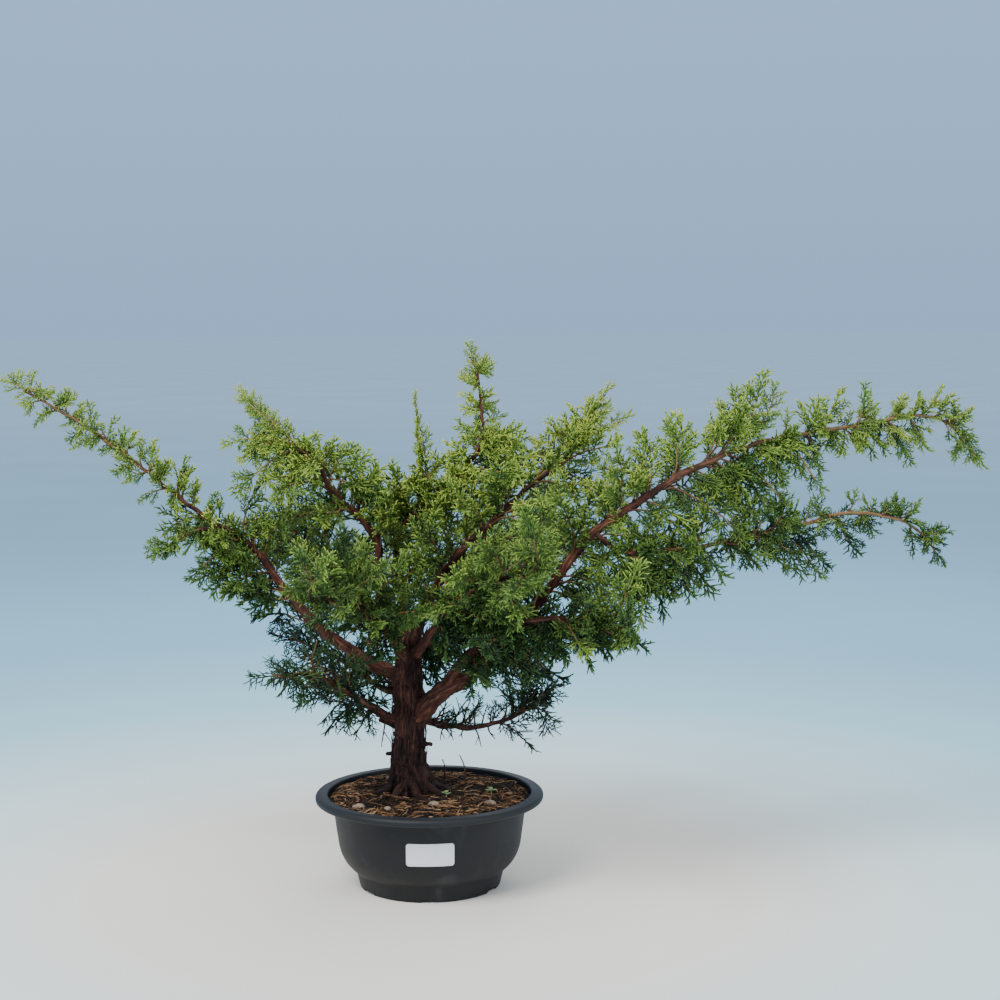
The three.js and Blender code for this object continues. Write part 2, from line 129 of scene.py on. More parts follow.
def make_mesh(name, points, groups, tints, material, replaced, extra=None):
    """One smooth object from points and groups of faces with equal numbers of corners."""
    mesh = bpy.data.meshes.new(name)
    loops = np.concatenate([group.ravel() for group in groups]).astype(np.int32)
    sizes = np.concatenate([np.full(len(group), group.shape[1]) for group in groups])
    starts = np.concatenate([[0], np.cumsum(sizes)[:-1]]).astype(np.int32)
    mesh.vertices.add(len(points))
    mesh.vertices.foreach_set("co", (points * MM).astype(np.float32).ravel())
    mesh.loops.add(len(loops))
    mesh.loops.foreach_set("vertex_index", loops)
    mesh.polygons.add(len(sizes))
    mesh.polygons.foreach_set("loop_start", starts)
    mesh.polygons.foreach_set("use_smooth", np.full(len(sizes), True))
    if tints is not None:
        layer = mesh.uv_layers.new(name="OFBake")
        layer.data.foreach_set("uv", tints[loops].astype(np.float32).ravel())
    for key, values in (extra or {}).items():
        attribute = mesh.attributes.new(key, "FLOAT_VECTOR", "POINT")
        attribute.data.foreach_set("vector", values.astype(np.float32).ravel())
    mesh.update(calc_edges=True)
    mesh.validate()
    piece = bpy.data.objects.new(name, mesh)
    bpy.context.scene.collection.objects.link(piece)
    piece.data.materials.append(material)
    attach(piece, "root")
    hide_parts(*replaced)
    return piece


def unit(vectors):
    return vectors / np.maximum(np.linalg.norm(vectors, axis=-1, keepdims=True), 1e-12)


def route(points, count):
    """count points spread evenly along a smooth curve through points."""
    knots = np.asarray(points, float)
    ends = np.vstack([2 * knots[0] - knots[1], knots, 2 * knots[-1] - knots[-2]])
    gaps = np.maximum(np.linalg.norm(np.diff(ends, axis=0), axis=1) ** 0.5, 1e-6)
    fine = []
    for i in range(len(knots) - 1):
        p0, p1, p2, p3 = ends[i:i + 4]
        d0, d1, d2 = gaps[i:i + 3]
        m1 = (p1 - p0) / d0 - (p2 - p0) / (d0 + d1) + (p2 - p1) / d1
        m2 = (p2 - p1) / d1 - (p3 - p1) / (d1 + d2) + (p3 - p2) / d2
        t = np.linspace(0, 1, 24, endpoint=False)[:, None]
        a = 2 * t**3 - 3 * t**2 + 1
        b = t**3 - 2 * t**2 + t
        c = t**3 - t**2
        fine.append(a * p1 + (1 - a) * p2 + b * d1 * m1 + c * d1 * m2)
    fine = np.vstack(fine + [knots[-1:]])
    length = np.concatenate([[0], np.cumsum(np.linalg.norm(np.diff(fine, axis=0), axis=1))])
    wanted = np.linspace(0, length[-1], count)
    return np.stack([np.interp(wanted, length, fine[:, axis]) for axis in range(3)], 1)


def turning_frames(path):
    """Tangent, side and top directions along one path, turning no more than the path does."""
    tangent = unit(np.gradient(path, axis=0))
    side = np.zeros_like(path)
    start = np.cross(tangent[0], [0.3, 0.1, 1.0])
    side[0] = start / np.linalg.norm(start)
    for i in range(1, len(path)):
        carried = side[i - 1] - tangent[i] * (side[i - 1] @ tangent[i])
        side[i] = carried / np.linalg.norm(carried)
    return tangent, side, np.cross(tangent, side)


def side_faces(rows, columns):
    """Four-cornered faces between rings of points: rows rings in turn, with columns points in each."""
    m, s = np.meshgrid(np.arange(rows - 1), np.arange(columns), indexing="ij")
    s2 = (s + 1) % columns
    quads = [m * columns + s, m * columns + s2, (m + 1) * columns + s2, (m + 1) * columns + s]
    return np.stack(quads, -1).reshape(-1, 4)


def closed_rings(rows, columns):
    """Faces of rings of points, closed by fans to two points that come after the rings."""
    around = np.arange(columns)
    onward = (around + 1) % columns
    last = (rows - 1) * columns
    first_fan = np.stack([onward, around, np.full(columns, rows * columns)], 1)
    last_fan = np.stack([last + around, last + onward, np.full(columns, rows * columns + 1)], 1)
    return [side_faces(rows, columns), np.vstack([first_fan, last_fan])]


def cords(paths, radii, sides):
    """Closed tapered cords, all with the same number of points. paths is (cords, points, 3)."""
    count, steps, _ = paths.shape
    tangent = unit(np.gradient(paths, axis=1))
    along = paths[:, -1] - paths[:, 0]
    reference = np.eye(3)[np.argmin(np.abs(along), axis=1)][:, None, :]
    side = unit(reference - tangent * (reference * tangent).sum(-1, keepdims=True))
    top = np.cross(tangent, side)
    around = np.arange(sides)
    angle = around * TAU / sides
    ring = side[:, :, None] * np.cos(angle)[None, None, :, None]
    ring = ring + top[:, :, None] * np.sin(angle)[None, None, :, None]
    rings = paths[:, :, None] + ring * radii[:, :, None, None]
    tip = paths[:, -1] + tangent[:, -1] * radii[:, -1:] * 1.6
    each = steps * sides + 1
    points = np.concatenate([rings.reshape(count, steps * sides, 3), tip[:, None]], 1)
    last = (steps - 1) * sides
    ends = np.stack([last + around, last + (around + 1) % sides, np.full(sides, each - 1)], -1)
    start = around[::-1][None]
    if sides > 4:
        start = np.stack([start[0, :1].repeat(sides - 2), start[0, 1:-1], start[0, 2:]], -1)
    offsets = (np.arange(count) * each)[:, None, None]
    faces = []
    for group in (side_faces(steps, sides), ends, start):
        faces.append((group[None] + offsets).reshape(-1, group.shape[1]))
    return points.reshape(-1, 3), faces, each


def point_along(path, share):
    """The point at a share of the way along a path of evenly spread points."""
    last = len(path) - 1
    return np.array([np.interp(share * last, np.arange(last + 1), path[:, k]) for k in range(3)])


def spun(points, turn, tilt):
    """Points tilted about Y, then turned about Z."""
    spin = Matrix.Rotation(turn, 3, "Z") @ Matrix.Rotation(tilt, 3, "Y")
    return points @ np.array(spin).T


def noise(points, seed):
    """Smooth noise in three dimensions, from -1 to 1, with features one unit wide."""
    cell = np.floor(points).astype(np.int64)
    t = points - cell
    t = t * t * (3 - 2 * t)
    total = np.zeros(len(points))
    for corner in range(8):
        step = np.array([corner & 1, corner >> 1 & 1, corner >> 2 & 1])
        key = cell + step
        mixed = key[:, 0] * 73856093 ^ key[:, 1] * 19349663 ^ key[:, 2] * 83492791 ^ seed * 2654435761
        mixed = (mixed ^ (mixed >> 13)) * 1274126177 & 0x7FFFFFFF
        mixed = (mixed ^ (mixed >> 15)) * 668265263 & 0x7FFFFFFF
        weight = np.prod(np.where(step, t, 1 - t), axis=1)
        total += weight * ((mixed & 0xFFFF) / 32767.5 - 1)
    return total


def layered_noise(points, seed, layers=3):
    total = np.zeros(len(points))
    for layer in range(layers):
        total += noise(points * 2**layer, seed + layer) / 2**layer
    return total


# ---------------------------------------------------------------- materials
def new_material(name, roughness, specular=0.3):
    material = bpy.data.materials.new(name)
    material.use_nodes = True
    shader = material.node_tree.nodes["Principled BSDF"]
    shader.inputs["Roughness"].default_value = roughness
    shader.inputs["Specular IOR Level"].default_value = specular
    return material, material.node_tree, shader


def add_node(tree, kind, settings=(), **inputs):
    node = tree.nodes.new(kind)
    for key, value in dict(settings).items():
        setattr(node, key, value)
    for key, value in inputs.items():
        socket = node.inputs[key.replace("_", " ")]
        if isinstance(value, bpy.types.NodeSocket):
            tree.links.new(value, socket)
        else:
            socket.default_value = value
    return node


def ramp(tree, factor, stops):
    """A colour, or a grey where the stops hold single numbers, by where factor lies between the stops."""
    node = tree.nodes.new("ShaderNodeValToRGB")
    elements = node.color_ramp.elements
    while len(elements) < len(stops):
        elements.new(0.5)
    for element, (place, colour) in zip(elements, stops):
        element.position = place
        element.color = (*colour, 1) if isinstance(colour, tuple) else (colour, colour, colour, 1)
    tree.links.new(factor, node.inputs["Fac"])
    return node.outputs["Color"]


def mix(tree, factor, a, b, blend="MIX"):
    node = tree.nodes.new("ShaderNodeMix")
    node.data_type = "RGBA"
    node.blend_type = blend
    for socket, value in ((node.inputs[0], factor), (node.inputs[6], a), (node.inputs[7], b)):
        if isinstance(value, bpy.types.NodeSocket):
            tree.links.new(value, socket)
        elif isinstance(value, (int, float)):
            socket.default_value = value
        else:
            socket.default_value = (*value, 1)
    return node.outputs[2]


def noise_texture(tree, vector, scale, detail=4.0, roughness=0.6):
    """Noise between 0 and 1, with scale features to each unit of vector."""
    settings = {"Scale": scale, "Detail": detail, "Roughness": roughness}
    return add_node(tree, "ShaderNodeTexNoise", Vector=vector, **settings).outputs["Fac"]


def object_place(tree):
    return add_node(tree, "ShaderNodeTexCoord").outputs["Object"]


def palette_parts(tree):
    """Each vertex's place in its palette: across it and up it."""
    palette = add_node(tree, "ShaderNodeUVMap", {"uv_map": "OFBake"}).outputs["UV"]
    parts = add_node(tree, "ShaderNodeSeparateXYZ", Vector=palette)
    return parts.outputs["X"], parts.outputs["Y"]


def above(tree, value, limit):
    """1 where value is over the limit, and 0 elsewhere."""
    node = add_node(tree, "ShaderNodeMath", {"operation": "GREATER_THAN"})
    tree.links.new(value, node.inputs[0])
    node.inputs[1].default_value = limit
    return node.outputs[0]


def set_colour(tree, shader, colour):
    tree.links.new(colour, shader.inputs["Base Color"])


def bump(tree, shader, height, strength, distance):
    node = tree.nodes.new("ShaderNodeBump")
    node.inputs["Strength"].default_value = strength
    node.inputs["Distance"].default_value = distance
    tree.links.new(height, node.inputs["Height"])
    tree.links.new(node.outputs["Normal"], shader.inputs["Normal"])


# The foliage palette: across it the age of a shoot together with painted light and shade, up it the kind of
# shoot.
GREEN_LOW, GREEN_HIGH = 0.05, 0.65
STEM_TINT = 0.77
DEAD_TINT = 0.93


def foliage_material():
    material, tree, shader = new_material("juniper_foliage", 0.5, 0.32)
    age_and_light, kind = palette_parts(tree)
    # Each green ramp runs from painted shade deep inside the crown, near black, to painted light at its top,
    # mixed with the paler colour of young shoots.
    deep = ramp(tree, age_and_light, [(0.0, (0.004, 0.011, 0.005)), (0.35, (0.018, 0.050, 0.012)),
                            (0.7, (0.098, 0.190, 0.028)), (1.0, (0.27, 0.41, 0.065))])
    warm = ramp(tree, age_and_light, [(0.0, (0.009, 0.018, 0.004)), (0.35, (0.042, 0.084, 0.013)),
                            (0.7, (0.200, 0.280, 0.032)), (1.0, (0.49, 0.57, 0.095))])
    stems = ramp(tree, age_and_light, [(0.0, (0.045, 0.015, 0.008)), (0.4, (0.11, 0.042, 0.018)),
                             (0.7, (0.21, 0.13, 0.038)), (1.0, (0.30, 0.29, 0.070))])
    dead = ramp(tree, age_and_light, [(0.0, (0.040, 0.022, 0.012)), (0.6, (0.17, 0.085, 0.035)),
                            (1.0, (0.42, 0.26, 0.11))])
    # Up the palette the green tone, deep to warm; add_spray moves it warmer where the painted light is
    # stronger.
    tone = add_node(tree, "ShaderNodeMapRange", Value=kind, From_Min=GREEN_LOW, From_Max=GREEN_HIGH)
    green = mix(tree, tone.outputs["Result"], deep, warm)
    living = mix(tree, above(tree, kind, 0.5 * (GREEN_HIGH + STEM_TINT)), green, stems)
    set_colour(tree, shader, mix(tree, above(tree, kind, 0.5 * (STEM_TINT + DEAD_TINT)), living, dead))
    return material


def bark_material(name, dark, mid, light):
    """Fibrous bark. The grain attribute runs across, across and along the wood."""
    material, tree, shader = new_material(name, 0.82, 0.25)
    grain = add_node(tree, "ShaderNodeAttribute", {"attribute_name": "grain"}).outputs["Vector"]
    fibres = noise_texture(tree, grain, 420 * MM, 5, 0.65)
    plates = noise_texture(tree, grain, 90 * MM, 4, 0.6)
    patches = noise_texture(tree, grain, 28 * MM, 3, 0.5)
    base = ramp(tree, fibres, [(0.30, dark), (0.52, mid), (0.74, light)])
    shade = ramp(tree, plates, [(0.36, 0.35), (0.6, 1.0)])
    toned = mix(tree, 0.75, base, shade, "MULTIPLY")
    grey = ramp(tree, patches, [(0.56, 0.0), (0.76, 0.35)])
    pale = mix(tree, grey, toned, tuple(0.5 * c + 0.07 for c in light))
    place = object_place(tree)
    parts = add_node(tree, "ShaderNodeSeparateXYZ", Vector=place)
    stains = noise_texture(tree, place, 60, 4, 0.6)
    stain = ramp(tree, stains, [(0.38, 0.35), (0.56, 1.0)])
    stained = mix(tree, 0.8, pale, stain, "MULTIPLY")
    # Darker towards the foot of the wood, up to about 0.19 m.
    darker_low = ramp(tree, parts.outputs["Z"], [(0.085, 0.22), (0.115, 0.50), (0.19, 1.0)])
    dark_foot = mix(tree, 1.0, stained, darker_low, "MULTIPLY")
    reach = add_node(tree, "ShaderNodeMath", {"operation": "ABSOLUTE"})
    tree.links.new(parts.outputs["X"], reach.inputs[0])
    young = ramp(tree, reach.outputs[0], [(0.21, 0.0), (0.42, 0.65)])
    set_colour(tree, shader, mix(tree, young, dark_foot, (0.28, 0.165, 0.070)))
    bump(tree, shader, fibres, 0.7, 0.0012)
    return material


def palette_material(name, low, high, roughness):
    """Colour by palette alone: across it from the first to the last of low, up it towards high."""
    material, tree, shader = new_material(name, roughness, 0.25)
    across, up = palette_parts(tree)
    set_colour(tree, shader, mix(tree, up, ramp(tree, across, low), ramp(tree, across, high)))
    return material


# ---------------------------------------------------------------- pot
POT_SIDES = 240
FLOOR_LIFT, WALL = 3, 2.4
DRAIN_RING, DRAIN_RADIUS, DRAIN_COUNT = 42, 5, 6
FOOT_RADIUS, NOTCH_WIDTH, NOTCH_DEPTH = 69, 17, 2.4
LABEL_WIDTH, LABEL_HEIGHT, LABEL_CORNER, LABEL_MIDDLE = 46, 22.5, 3, 53

# The rings of the label's face as shares of its edge, how far each stands off the wall, and how far
# its back does.
LABEL_RINGS = (1.0, 0.985, 0.8, 0.6, 0.4, 0.2)
LABEL_LIFTS = (0.45, 0.55, 0.58, 0.58, 0.58, 0.58)
LABEL_BACK = 0.33

# The sloping wall that the label lies on: its radius and height at the foot and at the top.
SLOPE_FOOT_RADIUS, SLOPE_FOOT = 89.5, 41
SLOPE_TOP_RADIUS, SLOPE_TOP = 95.5, 84.5

# The outline of the pot from the middle of its base, out, up, over the rim and down inside.
# Each corner is a radius, a height and how much it is rounded.
POT_OUTLINE = [
    (0, 0, 0), (18, 0, 0.8), (20, 3, 0.8), (63, 3, 0.8), (65, 0, 0.8), (69, 0, 1.2), (73, 16, 1.5),
    (77, 19, 3), (81.3, 23.3, 6), (84.8, 28.4, 6), (87.6, 34.3, 6), (89.5, 41, 8), (95.5, 84.5, 1.2),
    (110.4, 84.5, 0.9), (112, 86.0, 0.9), (112, 89.6, 1.0), (110, 91.6, 0.8), (108, 92, 0.8),
    (101, 92, 0.8), (100, 91, 0.6), (99.6, 84.5, 2), (93.1, 80.5, 2), (87.1, 41.6, 8), (85.2, 34.9, 6),
    (82.4, 29.0, 6), (78.9, 23.9, 6), (74.6, 20.5, 3), (69.6, 17, 2), (64, 5.4, 1.5), (18.5, 5.4, 0.8),
    (16.5, 2.4, 0.8), (0, 2.4, 0),
]


def rounded(outline, steps=4):
    """The outline with each corner turned into an arc, held by a point just beyond each end of it."""
    points = []
    for i, (radius, height, size) in enumerate(outline):
        corner = np.array([radius, height], float)
        if not size:
            points.append(corner)
            continue
        before = np.array(outline[i - 1][:2], float) - corner
        after = np.array(outline[i + 1][:2], float) - corner
        reach = min(size, 0.42 * np.linalg.norm(before), 0.42 * np.linalg.norm(after))
        a, b = corner + unit(before) * reach, corner + unit(after) * reach
        points.append(corner + unit(before) * reach * 1.12)
        for t in np.linspace(0, 1, steps):
            points.append((1 - t) ** 2 * a + 2 * t * (1 - t) * corner + t * t * b)
        points.append(corner + unit(after) * reach * 1.12)
    return np.array(points)


def turned(outline, sides):
    """A closed solid of revolution. The outline starts and ends on the axis."""
    inner = outline[1:-1]
    angle = np.arange(sides) * TAU / sides
    ring = np.stack([np.cos(angle), np.sin(angle)], 1)
    heights = np.broadcast_to(inner[:, None, 1:], (len(inner), sides, 1))
    rings = np.concatenate([inner[:, None, :1] * ring[None], heights], 2)
    points = np.vstack([rings.reshape(-1, 3), [[0, 0, outline[0][1]], [0, 0, outline[-1][1]]]])
    return points, closed_rings(len(inner), sides)


def cut_away(piece, cutters):
    """Cuts the cutters out of the piece and removes them."""
    for cutter in cutters:
        change = piece.modifiers.new("cut", "BOOLEAN")
        change.operation = "DIFFERENCE"
        change.solver = "EXACT"
        change.object = cutter
    whole = piece.evaluated_get(bpy.context.evaluated_depsgraph_get())
    mesh = bpy.data.meshes.new_from_object(whole)
    piece.modifiers.clear()
    piece.data = mesh
    for cutter in cutters:
        bpy.data.objects.remove(cutter)


def cutter(name, points, faces):
    """A bare solid that cuts another."""
    mesh = bpy.data.meshes.new(name)
    mesh.from_pydata((points * MM).tolist(), [], faces)
    solid = bpy.data.objects.new(name, mesh)
    bpy.context.scene.collection.objects.link(solid)
    return solid


def block(name, size, turn, place):
    """A box used as a cutter."""
    corners = np.array([[x, y, z] for x in (-0.5, 0.5) for y in (-0.5, 0.5) for z in (-0.5, 0.5)])
    faces = [(0, 1, 3, 2), (4, 6, 7, 5), (0, 4, 5, 1), (2, 3, 7, 6), (0, 2, 6, 4), (1, 5, 7, 3)]
    box = cutter(name, corners * np.array(size), faces)
    box.matrix_world = Matrix.Rotation(turn, 4, "Z") @ Matrix.Translation(Vector(place) * MM)
    return box


def post(name, radius, height, place):
    """An upright cylinder used as a cutter."""
    half = height / 2
    points, faces = turned(np.array([[0, -half], [radius, -half], [radius, half], [0, half]]), 40)
    return cutter(name, points + np.array(place), [face.tolist() for group in faces for face in group])


def plastic_material():
    material, tree, shader = new_material("pot_plastic", 0.55, 0.36)
    place = object_place(tree)
    grain = noise_texture(tree, place, 900, 3)
    smudges = noise_texture(tree, place, 16, 6, 0.65)
    drawn_down = add_node(tree, "ShaderNodeMapping", Vector=place, Scale=(1.0, 1.0, 0.12))
    streaks = noise_texture(tree, drawn_down.outputs["Vector"], 55, 5, 0.6)
    parts = add_node(tree, "ShaderNodeSeparateXYZ", Vector=place)
    body = ramp(tree, smudges, [(0.3, (0.0030, 0.0033, 0.0042)), (0.7, (0.0068, 0.0074, 0.0090))])
    dust = ramp(tree, streaks, [(0.56, 0.0), (0.80, 0.22)])
    dusty = mix(tree, dust, body, (0.10, 0.11, 0.115))
    smears = noise_texture(tree, place, 34, 3, 0.55)
    smear = ramp(tree, smears, [(0.58, 0.0), (0.70, 0.20)])
    dusty = mix(tree, smear, dusty, (0.055, 0.075, 0.088))
    line = ramp(tree, parts.outputs["Z"], [(0.0820, 0.0), (0.0838, 0.55), (0.0850, 0.1), (0.0875, 0.0)])
    lined = mix(tree, line, dusty, (0.10, 0.12, 0.14))
    # The top of the rim gets its own slightly bluish colour, a painted sheen, varied by the smudges and free
    # of dust.
    rim = ramp(tree, parts.outputs["Z"], [(0.0840, 0.0), (0.0855, 1.0)])
    smudged_sheen = mix(tree, smudges, (0.002, 0.0025, 0.0035), (0.012, 0.014, 0.017))
    colour = mix(tree, rim, lined, smudged_sheen)
    set_colour(tree, shader, colour)
    rough = ramp(tree, smudges, [(0.3, 0.48), (0.7, 0.66)])
    tree.links.new(rough, shader.inputs["Roughness"])
    bump(tree, shader, grain, 0.12, 0.0003)
    return material


def make_pot():
    points, faces = turned(rounded(POT_OUTLINE), POT_SIDES)
    pot = make_mesh("pot_shell", points, faces, None, plastic_material(), ["pot"])
    cutters = []
    for i in range(DRAIN_COUNT):
        angle = -math.pi / 2 + TAU * i / DRAIN_COUNT
        place = (DRAIN_RING * math.cos(angle), DRAIN_RING * math.sin(angle), FLOOR_LIFT + WALL / 2)
        cutters.append(post("drain", DRAIN_RADIUS, 4 * WALL, place))
        cutters.append(block("notch", (20, NOTCH_WIDTH, 2 * NOTCH_DEPTH), angle, (FOOT_RADIUS, 0, 0)))
    cut_away(pot, cutters)
    pot.data.set_sharp_from_angle(angle=math.radians(38))


def label_material():
    material, tree, shader = new_material("label_paper", 0.42, 0.4)
    place = object_place(tree)
    fibres = noise_texture(tree, place, 700, 4)
    marks = noise_texture(tree, place, 60, 5)
    paper = ramp(tree, fibres, [(0.3, (0.70, 0.71, 0.73)), (0.7, (0.78, 0.79, 0.80))])
    soiled = ramp(tree, marks, [(0.58, 0.0), (0.85, 0.35)])
    set_colour(tree, shader, mix(tree, soiled, paper, (0.50, 0.48, 0.45)))
    bump(tree, shader, fibres, 0.1, 0.0001)
    return material


def subdivided(outline, step):
    """A closed outline with points added so that none are further apart than step."""
    points = []
    for here, there in zip(outline, np.roll(outline, -1, axis=0)):
        count = max(1, math.ceil(np.linalg.norm(there - here) / step))
        points += [here + (there - here) * k / count for k in range(count)]
    return np.array(points)


def label_outline():
    """The edge of the label: a rectangle with round corners, as points close together."""
    half_w, half_h, corner = LABEL_WIDTH / 2, LABEL_HEIGHT / 2, LABEL_CORNER
    outline = []
    for centre_x, centre_z, start in ((1, 1, 0), (-1, 1, 1), (-1, -1, 2), (1, -1, 3)):
        for step in np.linspace(0, math.pi / 2, 7):
            angle = start * math.pi / 2 + step
            outline.append((centre_x * (half_w - corner) + corner * math.cos(angle),
                            centre_z * (half_h - corner) + corner * math.sin(angle)))
    return subdivided(np.array(outline), 1.5)


def on_slope(flat, lift):
    """Flat points laid on the sloping wall of the pot, each lifted off it by its own amount."""
    height = LABEL_MIDDLE + flat[:, 1]
    spread = (height - SLOPE_FOOT) * (SLOPE_TOP_RADIUS - SLOPE_FOOT_RADIUS) / (SLOPE_TOP - SLOPE_FOOT)
    radius = SLOPE_FOOT_RADIUS + spread + lift
    angle = flat[:, 0] / radius
    return np.stack([radius * np.sin(angle), -radius * np.cos(angle), height], 1)


def make_label():
    """A closed paper plate: an edge, a face of shrinking rings with a middle, and a back of such rings."""
    outline = label_outline()
    count = len(outline)
    rings = [outline * scale for scale in LABEL_RINGS]
    face = np.vstack([outline] + rings + [np.zeros((1, 2))])
    back = np.vstack(rings[2:] + [np.zeros((1, 2))])
    lifts = [np.full(count, h) for h in (LABEL_BACK, *LABEL_LIFTS)]
    lift = np.concatenate(lifts + [[LABEL_LIFTS[-1]], np.full(len(back), LABEL_BACK)])
    points = on_slope(np.vstack([face, back]), lift)
    around, onward = np.arange(count), (np.arange(count) + 1) % count
    middle = len(face) - 1
    face_starts = [k * count for k in range(len(rings) + 1)]
    back_starts = [0] + [middle + 1 + k * count for k in range(len(rings) - 2)]
    quads, triangles = [], []
    for starts, here, there, tip in ((face_starts, around, onward, middle),
                                     (back_starts, onward, around, len(points) - 1)):
        for low, high in zip(starts[:-1], starts[1:]):
            quads.append(np.stack([low + here, low + there, high + there, high + here], 1))
        triangles.append(np.stack([starts[-1] + here, starts[-1] + there, np.full(count, tip)], 1))
    faces = [np.vstack(quads), np.vstack(triangles)]
    make_mesh("sticker", points, faces, None, label_material(), ["label_plate"])


# ---------------------------------------------------------------- wood
TRUNK_POINTS = [(-17, 0, 68), (-18, 0, 88), (-19, 0, 106), (-20, 0, 126), (-19, 0, 160), (-20, 0, 195),
                (-19, 0, 225), (-16, 0, 246)]
TRUNK_RADII = [29, 23.5, 17.2, 16.2, 16.5, 14.2, 12.8, 11]
ROOT_LOBES = 5
TRUNK_STUBS = [
    ([(-20, 0, 157), (-36, -3, 160), (-48, -5, 165)], [4, 3, 2.4]),
    ([(-20, 2, 126), (-34, 6, 130), (-42, 8, 128)], [3, 2.4, 1.8]),
    ([(-19, 0, 132), (-6, -12, 140), (2, -20, 143)], [3, 2.6, 2]),
]

# Roots that run out over the soil from the foot of the trunk, each a route and its radii.
ROOTS = [
    ([(-16, -14, 101), (-12, -26, 94), (-4, -38, 91.5), (6, -46, 89)], [6, 4.4, 3, 1.6]),
    ([(-8, -8, 102), (6, -16, 94), (20, -22, 91.5), (34, -24, 88.5)], [6, 4.2, 2.8, 1.5]),
    ([(-26, -14, 101), (-32, -26, 94), (-36, -38, 91), (-38, -48, 88.5)], [5.5, 4, 2.6, 1.4]),
    ([(-34, -4, 101), (-46, -8, 93.5), (-58, -6, 91), (-68, -8, 88.5)], [5.5, 4, 2.6, 1.4]),
    ([(-6, 6, 101), (8, 10, 93.5), (22, 16, 91), (34, 18, 88.5)], [5.5, 3.8, 2.5, 1.4]),
    ([(-24, 14, 101), (-30, 28, 93.5), (-38, 42, 91), (-42, 54, 88.5)], [5.5, 3.8, 2.5, 1.4]),
]

# Each limb's route, and its radii spread evenly along it.
LIMBS = {
    "right_main": (
        [(-16, 0, 158), (10, -20, 193), (35, -35, 210), (70, -52, 243), (110, -65, 295), (155, -60, 350),
         (210, -45, 385), (265, -30, 415), (330, -15, 435), (400, 0, 445), (500, 10, 455), (535, 10, 432)],
        [10.5, 7.8, 5.4, 4.3, 3.8, 3.3, 2.8, 2.3, 1.9, 1.5, 1.1]),
    "right_second": (
        [(158, -60, 352), (180, -60, 336), (220, -60, 334), (275, -50, 340), (360, -30, 355),
         (410, -20, 365), (465, -10, 355), (492, -10, 335)],
        [2.8, 2.5, 2.2, 1.9, 1.6, 1.3]),
    "right_inner": (
        [(14, -20, 195), (28, -45, 222), (60, -95, 262), (105, -125, 282), (160, -145, 274)],
        [6, 4.2, 3, 2, 1.5]),
    "right_low": (
        [(-12, 2, 164), (20, 20, 153), (45, 35, 147), (70, 45, 150), (110, 62, 163)],
        [4.2, 3.1, 2.5, 2.0, 1.4]),
    "left_main": (
        [(-20, 0, 204), (-60, 10, 220), (-90, 15, 240), (-115, 20, 260), (-137, 24, 285), (-160, 20, 318),
         (-182, 15, 343), (-205, 10, 356), (-245, 0, 390), (-285, -5, 424), (-320, -5, 451), (-385, 0, 489)],
        [7.6, 6.0, 4.7, 3.8, 2.7, 1.9, 1.6, 1.3, 1.0]),
    "left_spray": (
        [(-182, 14, 344), (-200, 2, 351), (-222, -12, 354), (-250, -24, 338)],
        [2.6, 2.2, 1.8, 1.3]),
    "left_low": (
        [(-20, 0, 160), (-45, -10, 171), (-62, -25, 186), (-82, -40, 202), (-110, -62, 222),
         (-140, -76, 221)],
        [5.5, 4.2, 3.2, 2.6, 2, 1.5]),
    "left_mid": (
        [(-20, 0, 190), (-48, 30, 190), (-62, 52, 196), (-85, 82, 206), (-125, 112, 220)],
        [4, 3, 2.4, 2, 1.4]),
    "upper_left": (
        [(-20, 2, 232), (-36, 20, 266), (-46, 32, 298), (-50, 35, 335), (-68, 30, 362), (-92, 20, 387),
         (-106, 15, 414), (-124, 10, 430), (-160, 10, 438)],
        [5.8, 4.5, 3.6, 3, 2.5, 2, 1.5]),
    "centre_apex": (
        [(-17, 3, 236), (-24, 22, 280), (-30, 32, 315), (-24, 30, 350), (5, 20, 376), (35, 10, 401),
         (52, 0, 436), (54, 0, 470), (49, 0, 510)],
        [5.2, 4.2, 3.4, 2.8, 2.2, 1.7, 1.3, 1.1]),
    "centre_right": (
        [(-15, -3, 234), (-5, -20, 276), (10, -27, 302), (26, -30, 326), (46, -30, 346), (75, -20, 371),
         (103, -10, 396), (132, 0, 414), (158, 5, 445)],
        [5.6, 4.6, 3.8, 3.1, 2.6, 2, 1.5]),
    "front_left": (
        [(-19, -2, 222), (-34, -42, 250), (-52, -82, 280), (-78, -118, 300), (-104, -150, 306)],
        [5, 3.8, 2.8, 2, 1.4]),
    "front_right": (
        [(-14, -2, 226), (6, -52, 262), (26, -94, 292), (62, -130, 318), (92, -158, 326)],
        [5, 3.8, 2.8, 2, 1.4]),
    "back_left": (
        [(-19, 2, 216), (-42, 46, 246), (-72, 88, 282), (-112, 128, 312), (-150, 158, 330)],
        [5, 3.8, 2.8, 2, 1.4]),
    "back_right": (
        [(-16, 3, 222), (12, 50, 252), (42, 96, 286), (86, 136, 316), (132, 160, 336)],
        [5, 3.8, 2.8, 2, 1.4]),
}


GRAIN_STRETCH = 0.16
THICK_LIMB = 4
STRIP_STEPS, STRIP_THICKNESS = 7, 0.28


def limb_length(points):
    return float(np.linalg.norm(np.diff(route(points, 60), axis=0), axis=1).sum())


def bark_relief(grain, depth, seed):
    """How far the bark stands out: ridges along the grain, broad lumps and small knots."""
    ridges = 1 - np.abs(layered_noise(grain * 0.55, seed, 3))
    lumps = layered_noise(grain * np.array([0.12, 0.12, 0.35]), seed + 9, 2)
    knots = layered_noise(grain * np.array([0.30, 0.30, 1.6]), seed + 21, 3)
    return (ridges - 0.6) * 0.7 * depth + lumps * depth * 0.8 + knots * depth * 0.7


